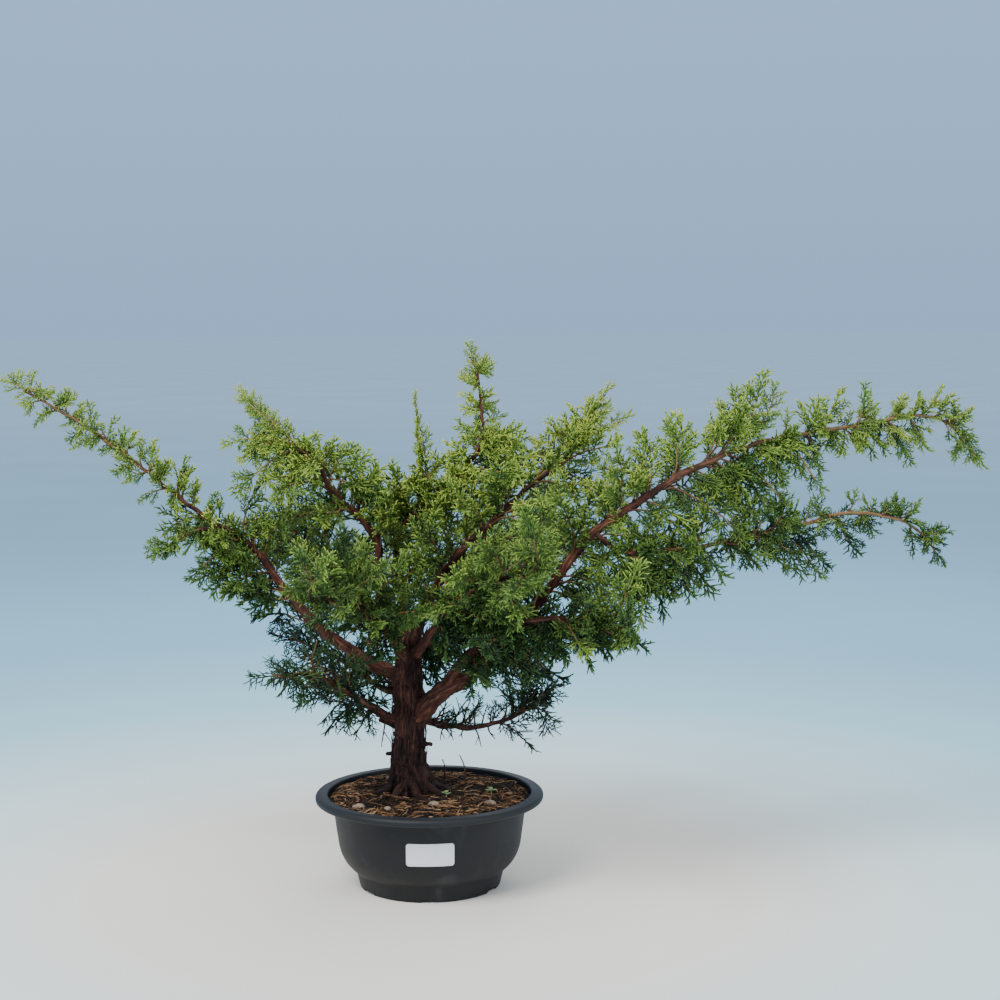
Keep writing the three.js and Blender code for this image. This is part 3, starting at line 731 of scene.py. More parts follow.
def bark_rod(points, radii, sides, step, depth, seed, lobed):
    """A closed rod of rough bark. Returns its points, faces and grain."""
    count = max(4, int(limb_length(points) / step) + 1)
    path = route(points, count)
    along = np.linspace(0, 1, count)
    wander = np.stack([layered_noise(path / 16 + 5 * axis, seed + axis, 2) for axis in range(3)], 1)
    freedom = np.interp(along, [0, 0.2, 0.9, 1], [0, 1, 1, 0])[:, None]
    path = path + wander * freedom * min(1.6, 0.45 * radii[0])
    size = np.interp(along, np.linspace(0, 1, len(radii)), radii)
    tangent, side, top = turning_frames(path)
    angle = np.arange(sides) * TAU / sides
    distance = along * limb_length(points)
    grid_angle, grid_distance = np.meshgrid(angle, distance)
    grid_size = np.broadcast_to(size[:, None], grid_angle.shape)
    grain = np.stack([grid_size * np.cos(grid_angle), grid_size * np.sin(grid_angle),
                      grid_distance * GRAIN_STRETCH], -1).reshape(-1, 3)
    change = bark_relief(grain, depth, seed).reshape(grid_angle.shape)
    swell = grid_size + change * np.clip(grid_size / 6, 0.25, 1.0)
    if lobed is not None:
        swell = swell * lobed(along[:, None], grid_angle)
    ring = side[:, None] * np.cos(grid_angle)[..., None] + top[:, None] * np.sin(grid_angle)[..., None]
    rings = path[:, None] + ring * swell[..., None]
    points = np.vstack([rings.reshape(-1, 3), path[:1], path[-1:] + tangent[-1:] * size[-1] * 0.6])
    grain = np.vstack([grain, [[0, 0, 0]], [[0, 0, distance[-1] * GRAIN_STRETCH]]])
    return points, closed_rings(count, sides), grain


def bark_strips(batch, grains, points, radii, count, share, seed):
    """Peeling strips of bark: thin closed plates that lie along the wood, each with one end curling away."""
    rng = np.random.default_rng(seed)
    path = route(points, 120)
    tangent, side, top = turning_frames(path)
    total = limb_length(points)
    for _ in range(count):
        length = rng.uniform(6, 24)
        width = rng.uniform(0.8, 3.0)
        middle = rng.uniform(*share)
        angle = rng.uniform(0, TAU)
        curl = rng.uniform(0.3, 2.4) * rng.uniform(0.4, 1.5)
        t = np.clip(middle + np.linspace(-0.5, 0.5, STRIP_STEPS) * length / total, 0.01, 0.99)
        index = (t * 119).astype(int)
        size = np.interp(t, np.linspace(0, 1, len(radii)), radii)
        out = side[index] * math.cos(angle) + top[index] * math.sin(angle)
        across = np.cross(out, tangent[index])
        lift = 0.25 + curl * np.linspace(0, 1, STRIP_STEPS) ** 2.5
        centre = np.stack([np.interp(t, np.linspace(0, 1, 120), path[:, k]) for k in range(3)], 1)
        centre = centre + out * (size + lift)[:, None]
        half = width * 0.5 * np.sin(np.linspace(0.35, math.pi - 0.25, STRIP_STEPS))[:, None]
        edge, inward = across * half, out * STRIP_THICKNESS
        rings = np.stack([centre + edge, centre - edge, centre - edge - inward, centre + edge - inward], 1)
        shape = rings.reshape(-1, 3)
        caps = np.array([[3, 2, 1, 0], [(STRIP_STEPS - 1) * 4 + k for k in range(4)]])
        batch.add(shape, [np.vstack([side_faces(STRIP_STEPS, 4), caps])], (0.5, 0.5))
        grains.append(np.stack([shape[:, 0], shape[:, 1] + 40, shape[:, 2] * GRAIN_STRETCH], 1))


# Bare twigs on the low limbs, by limb: where along it each starts, the way it grows and its length.
BARE_TWIGS = {
    "right_low": [(0.30, (0.1, -0.2, -1), 14), (0.42, (-0.3, 0.1, -1), 11), (0.50, (0.3, -0.1, -1), 20),
                  (0.60, (0.5, -0.3, -1), 15), (0.70, (-0.1, 0.2, -1), 11), (0.78, (0.4, -0.1, -1), 17),
                  (0.25, (-0.4, -0.5, -1), 16), (0.55, (0.2, -0.5, 1), 26), (0.38, (0.3, -0.4, 1), 34),
                  (0.16, (0.5, -0.6, 1), 30), (0.22, (0.2, 0.3, 1), 26), (0.30, (0.6, -0.2, 1), 38),
                  (0.34, (-0.2, -0.3, 1), 24), (0.44, (0.5, 0.3, 1), 34), (0.50, (-0.1, -0.4, 1), 30),
                  (0.62, (0.1, -0.5, 1), 24), (0.12, (0.7, -0.3, 0.5), 26), (0.20, (0.6, -0.8, -0.5), 22)],
    "left_low": [(0.16, (-0.2, -0.3, -1), 30), (0.30, (-0.4, 0.1, -1), 14), (0.45, (-0.6, -0.2, -1), 18),
                 (0.60, (-0.4, -0.2, -1), 22), (0.72, (-0.7, 0.1, -1), 16)],
}


def bare_twigs(name, points):
    """Thin crooked rods, ready for wood_piece."""
    path = route(points, 60)
    rods = []
    for share, way, length in BARE_TWIGS.get(name, []):
        start = path[int(share * 59)]
        way = unit(np.array(way, float))
        middle = start + way * length * 0.5 + np.array([1.2, 0.8, 0.6]) * math.sin(40 * share)
        end = start + way * length + np.array([0.8, 0, -0.5])
        rods.append(([start, middle, end], [0.9, 0.7, 0.4], 7, 2.2, 0.2, None))
        aside = unit(way + np.array([0.7, 0.2, 0.1]) * (1 if share * 100 % 4 < 2 else -1))
        fork = [middle, middle + aside * length * 0.3, middle + aside * length * 0.45]
        rods.append((fork, [0.6, 0.45, 0.3], 6, 2.2, 0.1, None))
    return rods


def root_lobes(along, angle):
    depth = 0.20 * np.clip(1 - along * 3, 0, 1)
    fine = 0.07 * np.clip(1 - along * 2.2, 0, 1)
    return 1 + depth * np.cos(ROOT_LOBES * angle) + fine * np.cos(11 * angle + 1.3)


def wood_piece(name, rods, material, nodes, strips):
    """One piece of wood from rods of (points, radii, sides, step, depth, lobed)."""
    batch, grains = Batch(), []
    for number, rod in enumerate(rods):
        points, radii, sides, step, depth, lobed = rod
        shape, faces, grain = bark_rod(points, radii, sides, step, depth, 11 + 7 * number + len(name), lobed)
        batch.add(shape, faces, (0.5, 0.5))
        grains.append(grain)
    for strip in strips:
        bark_strips(batch, grains, *strip, 5 + len(name))
    extra = {"grain": np.concatenate(grains)}
    make_mesh(name, np.concatenate(batch.points), batch.groups(), None, material, nodes, extra)


def make_wood():
    old_bark = bark_material("old_bark", (0.010, 0.005, 0.004), (0.075, 0.025, 0.016), (0.27, 0.105, 0.070))
    red_bark = bark_material("red_bark", (0.020, 0.008, 0.005), (0.115, 0.034, 0.020), (0.34, 0.145, 0.090))
    trunk = [(TRUNK_POINTS, [r - 0.8 for r in TRUNK_RADII], 120, 1.5, 2.6, root_lobes)]
    trunk += [(points, radii, 14, 2, 0.5, None) for points, radii in TRUNK_STUBS]
    trunk += [(points, radii, 20, 1.6, 0.9, None) for points, radii in ROOTS]
    strips = [(TRUNK_POINTS, TRUNK_RADII, 330, (0.12, 0.95))]
    wood_piece("trunk_wood", trunk, old_bark, ["trunk"], strips)
    for name, (points, radii) in LIMBS.items():
        thick = radii[0] > THICK_LIMB
        sides, depth = (26, 1.1) if thick else (14, 0.75)
        rods = [(points, radii, sides, 1.8, depth, None)] + bare_twigs(name, points)
        strips = [(points, radii, int(limb_length(points) / 9), (0.05, 0.55))] if thick else []
        wood_piece("wood_" + name, rods, red_bark, ["limb_" + name], strips)


# ---------------------------------------------------------------- foliage
# Ends of the twigs that make the outline of the tree, by limb: a place, and the size of the
# sprays if it isn't the usual one. A fifth number is where along the limb an upright twig starts.
TWIGS = {
    "right_main": [
        (243, -40, 462), (325, -35, 495, 0.8), (305, -45, 465), (340, -30, 492, 0.6), (405, -5, 480, 0.8),
        (350, -25, 405, 0.8), (364, -15, 412, 0.8), (435, 0, 480, 0.75), (487, 5, 470, 0.7),
        (540, 10, 455, 0.75), (550, 10, 405, 0.7), (385, -30, 390, 0.7), (390, 10, 410, 0.7),
        (480, 15, 410, 0.7), (490, 0, 425, 0.7), (350, -40, 375, 0.7), (310, -60, 345), (170, -40, 402),
        (50, -75, 235, 0.8), (70, -85, 252, 0.8), (60, -70, 224, 0.8), (86, -90, 264, 0.8),
        (44, -62, 214, 0.7), (205, -60, 415), (250, -60, 365), (175, -20, 415, 0.7), (214, -30, 447, 0.8),
        (65, -90, 295), (85, -95, 320), (135, -100, 295), (125, -60, 355), (264, -50, 425), (286, -30, 410),
        (302, -20, 390), (272, -60, 392), (295, -40, 375), (334, -30, 427), (348, -10, 402),
        (407, -5, 455, 0.8), (430, -15, 435, 0.8), (400, 10, 440, 0.8), (290, -30, 475), (240, -60, 400),
        (312, -10, 440), (285, -45, 460), (450, 0, 458, 0.8), (515, 10, 440, 0.7), (210, -30, 440, 0.8),
        (305, -30, 485), (383, -10, 467), (440, 0, 424, 0.7), (456, 5, 420, 0.7), (425, 0, 428, 0.7),
        (470, 5, 470, 0.75), (500, 5, 468, 0.7), (518, 10, 468, 0.7), (445, -10, 432, 0.8), (275, -50, 420),
        (290, -40, 402), (310, -30, 390), (328, -20, 386), (262, -30, 440), (355, -20, 425),
        (372, -20, 424), (470, 0, 425, 0.7), (235, -30, 430), (300, -30, 425), (249, -20, 464, 0.8),
        (244, -20, 450, 0.8), (312, -35, 492, 0.7), (344, -20, 415, 0.8), (350, -10, 420, 0.8),
        (295, -40, 385), (315, -30, 376), (330, -30, 380), (165, -90, 315), (170, -80, 303),
        (155, -90, 298), (185, -70, 325)],
    "right_second": [
        (350, -30, 380, 0.8), (320, -55, 320, 0.8), (380, -45, 310, 0.7), (462, -10, 350, 0.6),
        (435, -25, 345, 0.7), (460, -10, 375, 0.65), (505, -5, 345, 0.6), (505, -10, 315, 0.6),
        (285, -55, 310), (260, -65, 300), (230, -70, 280), (200, -80, 290), (200, -60, 326),
        (224, -70, 308), (249, -60, 311), (180, -80, 290), (208, -85, 295), (160, -90, 321),
        (153, -70, 333), (390, -20, 363, 0.7), (461, -10, 352, 0.65), (202, -50, 344), (300, -50, 330, 0.8),
        (330, -45, 340, 0.8), (240, -40, 340), (265, -45, 330), (416, -20, 328, 0.7), (345, -50, 316),
        (362, -48, 316, 0.8), (430, -15, 370, 0.6), (450, -15, 360, 0.7), (480, -10, 362, 0.65),
        (495, -10, 335, 0.6), (345, -40, 330, 0.8), (385, -40, 318, 0.7), (215, -80, 302), (235, -70, 298),
        (255, -65, 290), (272, -60, 300), (195, -80, 280), (205, -85, 268), (225, -60, 325),
        (310, -50, 345, 0.8), (335, -40, 362, 0.8), (385, -20, 378, 0.6)],
    "right_inner": [
        (195, -165, 262, 0.8), (165, -150, 300), (120, -120, 250), (150, -120, 249), (121, -110, 241),
        (116, -60, 222, 0.8), (109, -90, 220), (180, -130, 275), (95, -100, 235), (140, -100, 262),
        (135, -110, 244), (152, -120, 244), (170, -130, 251), (188, -140, 260), (165, -110, 258)],
    "right_low": [
        (130, 75, 178, 0.8), (105, 75, 195, 0.8), (128, 60, 182, 0.8), (103, 60, 186, 0.8),
        (114, 70, 198, 0.8), (90, 60, 174, 0.8), (55, 30, 172, 0.6), (85, 50, 185, 0.8),
        (118, 55, 192, 0.8), (28, 15, 160, 0.5), (72, 40, 166, 0.6), (36, 8, 167, 0.5), (52, 20, 169, 0.5),
        (20, 5, 165, 0.45)],
    "left_main": [
        (-405, 0, 503, 0.6), (-345, -5, 446, 0.6), (-335, 0, 474, 0.6), (-290, -5, 455, 0.7),
        (-265, 0, 435, 0.7), (-255, 0, 420, 0.7), (-235, 0, 425, 0.6), (-165, 15, 370, 0.8),
        (-230, -20, 315, 0.8), (-225, 0, 305, 0.8), (-175, 10, 280), (-195, 40, 290), (-305, -5, 440, 0.7),
        (-285, 0, 450, 0.7), (-225, 0, 345), (-205, -20, 330), (-245, 5, 395, 0.6), (-180, -10, 320),
        (-150, 5, 290), (-165, 30, 345), (-215, -10, 300), (-195, -10, 296), (-180, 0, 290),
        (-300, -5, 415, 0.7), (-275, -5, 405, 0.7), (-385, 0, 488, 0.6), (-360, 0, 468, 0.6),
        (-210, 10, 385, 0.6), (-160, -20, 300), (-140, -30, 320), (-232, 0, 412, 0.6), (-222, 0, 402, 0.6),
        (-190, -30, 310), (-198, -20, 304), (-222, -10, 333, 0.7)],
    "left_spray": [(-262, -35, 330, 0.6), (-235, -20, 343, 0.55), (-255, -25, 333, 0.6)],
    "left_low": [
        (-160, -85, 224, 0.7), (-130, -80, 206, 0.8), (-75, -30, 165, 0.8), (-105, -50, 180),
        (-85, -45, 170), (-103, -40, 221), (-113, -50, 204), (-80, -30, 224), (-84, -50, 194),
        (-140, -70, 222, 0.8), (-60, -20, 205), (-120, -60, 198), (-98, -50, 172, 0.8),
        (-68, -30, 172, 0.8), (-148, -60, 222, 0.8), (-92, -20, 235), (-75, -40, 182)],
    "left_mid": [
        (-150, 120, 228, 0.7), (-130, 95, 212, 0.8), (-48, 20, 224), (-53, 40, 236), (-62, 30, 255),
        (-90, 70, 240), (-38, 10, 200), (-70, 50, 222)],
    "upper_left": [
        (-182, 10, 492, 0.5), (-172, 10, 470, 0.5), (-177, 5, 481, 0.45), (-165, 5, 440, 0.6),
        (-194, 5, 442, 0.7), (-182, 0, 424, 0.7), (-174, -5, 434, 0.7), (-150, 10, 445, 0.8),
        (-120, 0, 442), (-105, 20, 437), (-78, 10, 435, 0.8), (-55, 20, 405), (-150, 10, 365),
        (-30, 20, 390), (-150, 0, 390), (-135, -10, 415), (-95, -15, 405), (-120, 20, 385),
        (-90, 10, 442, 0.8), (-110, -30, 370), (-49, 10, 415), (-64, 10, 427), (-80, -30, 360)],
    "centre_apex": [
        (44, 0, 532, 0.5), (38, 0, 505, 0.5), (60, 0, 510, 0.5), (66, 0, 480, 0.65), (40, 0, 475, 0.65),
        (70, 0, 448), (90, 0, 445), (-30, 15, 418), (-10, 20, 480, 0.5, 0.46), (0, 20, 425, 0.7),
        (-5, 20, 455, 0.5, 0.5), (20, 5, 425), (47, 0, 450, 0.8), (-6, -10, 400), (30, -20, 410),
        (50, 5, 520, 0.55), (58, -5, 465, 0.7), (35, 5, 452, 0.7), (28, 0, 437), (91, -10, 452, 0.8)],
    "centre_right": [
        (172, 5, 478, 0.8), (180, 10, 488, 0.65), (200, 5, 462, 0.55), (100, -5, 430), (150, 5, 468, 0.8),
        (130, -10, 462, 0.8), (107, -60, 384), (130, -60, 384), (47, -20, 396), (75, -30, 410),
        (140, 0, 458), (160, 5, 470, 0.8), (150, -10, 425)],
    "front_left": [(3, -60, 366), (-7, -70, 344), (-130, -140, 300), (-90, -150, 340), (-60, -120, 345)],
    "front_right": [(17, -80, 331), (40, -110, 350), (115, -150, 320), (75, -150, 300), (20, -110, 300)],
    "back_left": [(7, 30, 205), (-20, 60, 260), (-60, 60, 250), (-90, 90, 250)],
    "back_right": [
        (17, 40, 215), (42, 60, 235), (30, 60, 250), (70, 80, 260), (10, 30, 212), (25, 40, 202),
        (5, 30, 232), (25, 30, 232), (45, 50, 222), (10, 25, 203), (18, 25, 222)],
}

# Short tufts close along the outer part of a limb: where they start and stop along it, their spacing
# and their reach.
TUFTS = {
    "left_main": (0.60, 0.99, 11, 17),
    "right_main": (0.66, 0.99, 14, 18),
    "right_second": (0.42, 0.99, 13, 17),
    "centre_apex": (0.72, 0.98, 8, 12),
}

# Twigs that fill the inner crown, by limb: where they start and stop along it, their spacing and their reach.
FILLING = {
    "right_main": (0.14, 0.50, 11, 64),
    "right_second": (0.08, 0.50, 20, 42),
    "right_inner": (0.15, 1.0, 9, 56),
    "right_low": (0.60, 1.0, 13, 30),
    "left_main": (0.16, 0.58, 11, 60),
    "left_spray": (0.30, 1.0, 30, 16),
    "left_low": (0.25, 0.85, 10, 32),
    "left_mid": (0.25, 1.0, 10, 48),
    "upper_left": (0.22, 0.84, 9, 58),
    "centre_apex": (0.22, 0.72, 8, 62),
    "centre_right": (0.22, 0.86, 8, 60),
    "front_left": (0.25, 1.0, 7, 60),
    "front_right": (0.25, 1.0, 7, 60),
    "back_left": (0.28, 0.95, 8, 58),
    "back_right": (0.28, 0.95, 8, 58),
}

# The outline that the filling stays inside, as seen from the front: how far out, and how high.
CROWN_TOP = [(-270, 400), (-225, 360), (-195, 390), (-160, 430), (-100, 430), (-60, 405),
             (-30, 405), (20, 405), (60, 430), (100, 440), (150, 460), (190, 440),
             (215, 420), (250, 440), (320, 465), (420, 440)]
CROWN_BOTTOM = [(-270, 340), (-220, 310), (-180, 295), (-166, 284), (-150, 263), (-120, 232),
                (-80, 190), (-20, 175), (30, 170), (110, 185), (150, 225), (210, 245),
                (250, 292), (290, 312), (400, 320)]

# The nodes that each limb's foliage stands for: one group of nodes for each piece, from the foot of the
# limb outwards.
SPRAY_NODES = {
    "left_main": [["left_inner", "left_middle"], ["left_crest"], ["left_arch", "left_tip"]],
    "left_spray": [["left_droop"]],
    "left_low": [["low_left", "low_left_hang"]],
    "left_mid": [["mid_left"]],
    "upper_left": [["upper_left_front", "upper_left_side"], ["upper_left_crown", "upper_left_sprout"]],
    "centre_apex": [["apex_front"], ["apex_tip"]],
    "centre_right": [["centre_back"], ["centre_crown"]],
    "right_main": [["right_shoulder"], ["right_crest"], ["right_side", "right_tip"]],
    "right_second": [["second_side"], ["second_tip"]],
    "right_low": [["low_right"]],
    "right_inner": [["inner_right"]],
    "front_left": [["front_left"]],
    "front_right": [["front_right"]],
    "back_left": [["back_left"]],
    "back_right": [["back_right"]],
}

LOW_LIMBS = ("right_low", "left_low", "left_mid")

# The parts of the limbs that little foliage grows in front of, as shares of their length, and how far
# to each side.
OPEN_LIMBS = {"right_main": (0.25, 0.66), "centre_right": (0.25, 0.78), "upper_left": (0.34, 0.72),
              "left_main": (0.12, 0.42)}
OPEN_WIDTH = 6.5

# How often a spray or a twig in front of such a limb is left out, and the spots along a spray that count.
SPRAYS_LEFT_OUT, TWIGS_LEFT_OUT = 0.88, 0.75
SPRAY_SPOTS = np.array([[6], [17], [28]])

LIMB_STEPS = 240
TWIG_STEPS, TWIG_SIDES = 9, 5
USUAL_SIZE = 0.9


def bent_shoot(root, way, inward, reach, steps, curl):
    """A shoot from root along way that curls towards inward."""
    t = np.linspace(0, 1, steps)[:, None]
    return root + way * reach * t + inward * reach * curl * t**2


class Template:
    """A spray at its own origin, growing along +X and spread in the XY plane."""

    def __init__(self):
        self.paths, self.radii, self.ages = {}, {}, {}

    def grow(self, path, thick, thin, young, old, sides=3):
        key = (len(path), sides)
        self.paths.setdefault(key, []).append(path)
        knuckle = 1 + 0.10 * np.cos(np.arange(len(path)) * math.pi)
        self.radii.setdefault(key, []).append(np.linspace(thick, thin, len(path)) * knuckle)
        self.ages.setdefault(key, []).append(np.linspace(young, old, len(path)))

    def shape(self):
        points, faces, ages, count = [], [], [], 0
        for (steps, sides), paths in self.paths.items():
            shape, groups, _ = cords(np.array(paths), np.array(self.radii[steps, sides]), sides)
            points.append(shape)
            faces += [group + count for group in groups]
            shades = np.array(self.ages[steps, sides])
            ages.append(np.concatenate([np.repeat(shades, sides, 1), shades[:, -1:]], 1).ravel())
            count += len(shape)
        return np.concatenate(points), faces, np.concatenate(ages)


def flat_spray(seed, length, widest, spacing, fine, stout=1.0, gap=3.6):
    """A tufted fan of scale-leaved cords: an axis, shoots on both sides of it, and fine shoots on those."""
    rng = np.random.default_rng(seed)
    template = Template()
    bend, lift = rng.uniform(-0.22, 0.22), rng.uniform(-0.18, 0.18)
    t = np.linspace(0, 1, 6)[:, None]
    axis = np.hstack([t * length, bend * length * t**2, lift * length * t**2])
    template.grow(axis, 1.45 * stout, 0.85 * stout, 0.05, 0.80, 4)
    place, side = 0.6 * spacing, 1 if rng.random() < 0.5 else -1
    while place < 0.97 * length:
        t = place / length
        root = np.array([place, bend * length * t**2, lift * length * t**2])
        reach = widest * math.sin(math.pi * (0.24 + 0.66 * t)) ** 0.8 * rng.uniform(0.65, 1.25)
        angle = math.radians(rng.uniform(28, 56) - 10 * t)
        rise = rng.uniform(-0.55, 0.55)
        way = unit(np.array([math.cos(angle), side * math.sin(angle), rise]))
        shoot = bent_shoot(root, way, np.array([1.0, 0, 0.3 * rise]), reach, 3, rng.uniform(0.05, 0.35))
        template.grow(shoot, 1.30 * stout, 0.80 * stout, 0.15 + 0.3 * t, 0.9)
        along, twist = rng.uniform(0.10, 0.25) * reach, side
        while along < 0.95 * reach:
            share = along / reach
            start = root + (shoot[-1] - root) * share
            small = fine * (1.15 - 0.5 * share) * rng.uniform(0.55, 1.35)
            turn = angle * side + twist * math.radians(rng.uniform(22, 48))
            small_way = unit(np.array([math.cos(turn), math.sin(turn), rise + rng.uniform(-0.6, 0.6)]))
            fine_shoot = bent_shoot(start, small_way, way, small, 2, 0.2)
            template.grow(fine_shoot, 1.25 * stout, 0.85 * stout, 0.25 + 0.25 * t, 1.0)
            twist = -twist
            along += gap * rng.uniform(0.78, 1.22)
        side = -side
        place += spacing * rng.uniform(0.7, 1.25)
    return template.shape()


def needle_spray(seed, length, needle, old=0.8):
    """A juvenile shoot with sharp needles on every side of it."""
    rng = np.random.default_rng(seed)
    template = Template()
    bend, lift = rng.uniform(-0.2, 0.2), rng.uniform(-0.2, 0.1)
    t = np.linspace(0, 1, 6)[:, None]
    axis = np.hstack([t * length, bend * length * t**2, lift * length * t**2])
    template.grow(axis, 0.8, 0.45, 0.1, 0.6, 4)
    count = int(length / 0.75)
    for i in range(count):
        t = 0.08 + 0.92 * i / count
        root = np.array([t * length, bend * length * t**2, lift * length * t**2])
        around = i * GOLDEN_TURN
        lean = rng.uniform(0.55, 0.95)
        way = unit(np.array([1.0, lean * math.cos(around) * 1.4, lean * math.sin(around)]))
        reach = needle * rng.uniform(0.7, 1.15) * (1 - 0.35 * t)
        template.grow(bent_shoot(root, way, np.array([1.0, 0, 0]), reach, 2, 0.1), 0.52, 0.18, 0.25, old)
    return template.shape()


def make_templates():
    adult = [flat_spray(100 + i, 31 + 3 * (i % 4), 13 + i % 3, 4.2, 8.6) for i in range(10)]
    narrow = [flat_spray(140 + i, 34 + 3 * (i % 3), 9.5, 3.9, 7.0) for i in range(6)]
    airy = [flat_spray(200 + i, 36 + 3 * (i % 3), 14, 5.4, 10.0, 0.80, 4.6) for i in range(6)]
    juvenile = [needle_spray(160 + i, 30 + 4 * (i % 3), 7.5) for i in range(4)]
    dead = [flat_spray(180 + i, 20 + 4 * i, 8, 6.0, 2.4, 0.5) for i in range(2)]
    faded = [flat_spray(220 + i, 26, 10, 4.6, 8.0, 0.7, 4.0) for i in range(3)]
    return {"adult": adult, "narrow": narrow, "airy": airy,
            "juvenile": juvenile, "dead": dead, "faded": faded}


def crossways(way, hint):
    """A unit vector square to way and close to hint."""
    return unit(hint - way * (hint @ way))


class Foliage:
    """Everything that grows on one limb: twigs with their sprays."""

    def __init__(self, templates, lines, seed):
        self.batch = Batch()
        self.templates = templates
        self.lines = lines
        self.rng = np.random.default_rng(seed)
        self.twigs = []

    def add_spray(self, kind, place, way, hint, size, light):
        rng = self.rng
        shape, faces, ages = self.templates[kind][rng.integers(len(self.templates[kind]))]
        spray_line = place + way * size * SPRAY_SPOTS
        if hides_limb(spray_line, self.lines) and rng.random() < SPRAYS_LEFT_OUT:
            return
        roll = rng.normal(0, 0.45)
        normal = crossways(way, hint)
        across = np.cross(normal, way)
        normal, across = (normal * math.cos(roll) + across * math.sin(roll),
                          across * math.cos(roll) - normal * math.sin(roll))
        basis = np.stack([way, across, normal]) * size
        # The place in the palette: the painted light of the spot, the shoot's age along the spray, and a
        # little random change.
        age_and_light = np.clip(light + (0.30 + 0.70 * light) * (ages - 0.50) + rng.normal(0, 0.07), 0.02, 0.98)
        # A random green tone, moved warmer where the painted light is stronger.
        tone = np.clip(0.36 + 0.45 * (light - 0.5) + rng.normal(0, 0.13), GREEN_LOW, GREEN_HIGH)
        tone = DEAD_TINT if kind in ("dead", "faded") else tone
        self.batch.add(shape @ basis + place, faces, np.stack([age_and_light, np.full(len(age_and_light), tone)], 1))

    def add_leafy_twig(self, start, tangent, end, kinds, size, gap, light, thick):
        """A twig that leaves the limb along it, bends towards its end, and carries sprays on both sides."""
        rng = self.rng
        distance = np.linalg.norm(end - start)
        control = start + tangent * 0.38 * distance + UP * 0.05 * distance
        t = np.linspace(0, 1, TWIG_STEPS)[:, None]
        path = (1 - t) ** 2 * start + 2 * t * (1 - t) * control + t**2 * end
        path[1:-1] += rng.normal(0, 0.012 * distance, (TWIG_STEPS - 2, 3))
        if hides_limb(path[5:], self.lines) and rng.random() < TWIGS_LEFT_OUT:
            return
        self.twigs.append((path, thick, light))
        hint = unit(np.array([rng.normal(0, 0.45), -0.75 + rng.normal(0, 0.35), 0.55 + rng.normal(0, 0.35)]))
        count = max(2, int(distance * 0.8 / gap))
        side = 1 if rng.random() < 0.5 else -1
        for i in range(count):
            t = 0.22 + 0.74 * (i + rng.uniform(0.2, 0.8)) / count
            place = point_along(path, t)
            along = unit(point_along(path, min(t + 0.06, 1)) - place + 1e-9)
            normal = crossways(along, hint)
            across = np.cross(normal, along) * side
            angle = math.radians(rng.uniform(32, 58))
            way = unit(along * math.cos(angle) + across * math.sin(angle) + normal * rng.normal(0, 0.22))
            kind = kinds[rng.integers(len(kinds))]
            self.add_spray(kind, place, way, normal, size * rng.uniform(0.6, 0.95) * (1.1 - 0.35 * t), light)
            side = -side
        finish = unit(path[-1] - path[-2])
        last_size = size * rng.uniform(0.75, 0.95)
        # The spray at the twig's end gets a little more painted light.
        self.add_spray(kinds[0], path[-1] - finish * 8 * size, finish, hint, last_size, light + 0.06)

    def build(self, name, nodes, material):
        """One piece of all the sprays and twigs so far."""
        paths = np.array([path for path, _, _ in self.twigs])
        radii = np.array([np.linspace(thick, 0.8, TWIG_STEPS) for _, thick, _ in self.twigs])
        points, faces, _ = cords(paths, radii, TWIG_SIDES)
        ages = []
        for _, _, light in self.twigs:
            # Twig stems grow paler towards their ends, and paler overall where the painted light is stronger.
            age_and_light = np.linspace(0.05 + 0.25 * light, 0.45 + 0.6 * light, TWIG_STEPS)
            ages.append(np.append(np.repeat(age_and_light, TWIG_SIDES), 0.7))
        self.batch.add(points, faces, np.stack([np.concatenate(ages), np.full(len(points), STEM_TINT)], 1))
        self.batch.build(name, material, "foliage", nodes)


def painted_crown_light(place):
    """Painted light and shade for foliage at a place, mixed with its age: lightest and youngest at the top of
    the crown, darker low down and out on the long limbs.
    """
    x, _, z = place
    height = (z - 150) / 330
    end = np.clip((abs(x) - 230) / 100, 0, 1)
    return float(np.clip(0.02 + 0.74 * height - 0.12 * end, 0.03, 0.74))


EYE_DISTANCE, EYE_HEIGHT = CAMERA_DISTANCE / MM, CAMERA_HEIGHT / MM


def front_scale(depth):
    """How large things look from the front, against things at the depth of the trunk."""
    return EYE_DISTANCE / (EYE_DISTANCE + depth)


def seen_from_front(points):
    """Points as they look from the front: across, height, and how far back they are."""
    scale = front_scale(points[:, 1])
    return np.stack([points[:, 0] * scale, EYE_HEIGHT + (points[:, 2] - EYE_HEIGHT) * scale, points[:, 1]], 1)


def open_lines():
    """Points along the limbs that stay in sight."""
    lines = []
    for name, (first, last) in OPEN_LIMBS.items():
        path = route(LIMBS[name][0], LIMB_STEPS)
        lines.append(seen_from_front(path[int(first * LIMB_STEPS):int(last * LIMB_STEPS)]))
    return np.concatenate(lines)


def hides_limb(spray_line, lines):
    """Whether a spray lies in front of a limb that stays in sight."""
    for spot in seen_from_front(spray_line):
        close = np.hypot(lines[:, 0] - spot[0], lines[:, 1] - spot[1]) < OPEN_WIDTH
        if np.any(close & (lines[:, 2] > spot[2] - 2)):
            return True
    return False


def limb_direction(path, index):
    return unit(path[index + 1] - path[index])


def leave_limb(path, end):
    """Where a twig with this end leaves the limb, and the limb's direction there."""
    gaps = np.linalg.norm(path - end, axis=1)
    nearest = int(np.argmin(gaps))
    step = np.linalg.norm(path[1] - path[0])
    index = max(nearest - int(0.85 * gaps[nearest] / step), int(0.10 * len(path)))
    index = min(index, nearest, len(path) - 2)
    return index, limb_direction(path, index)


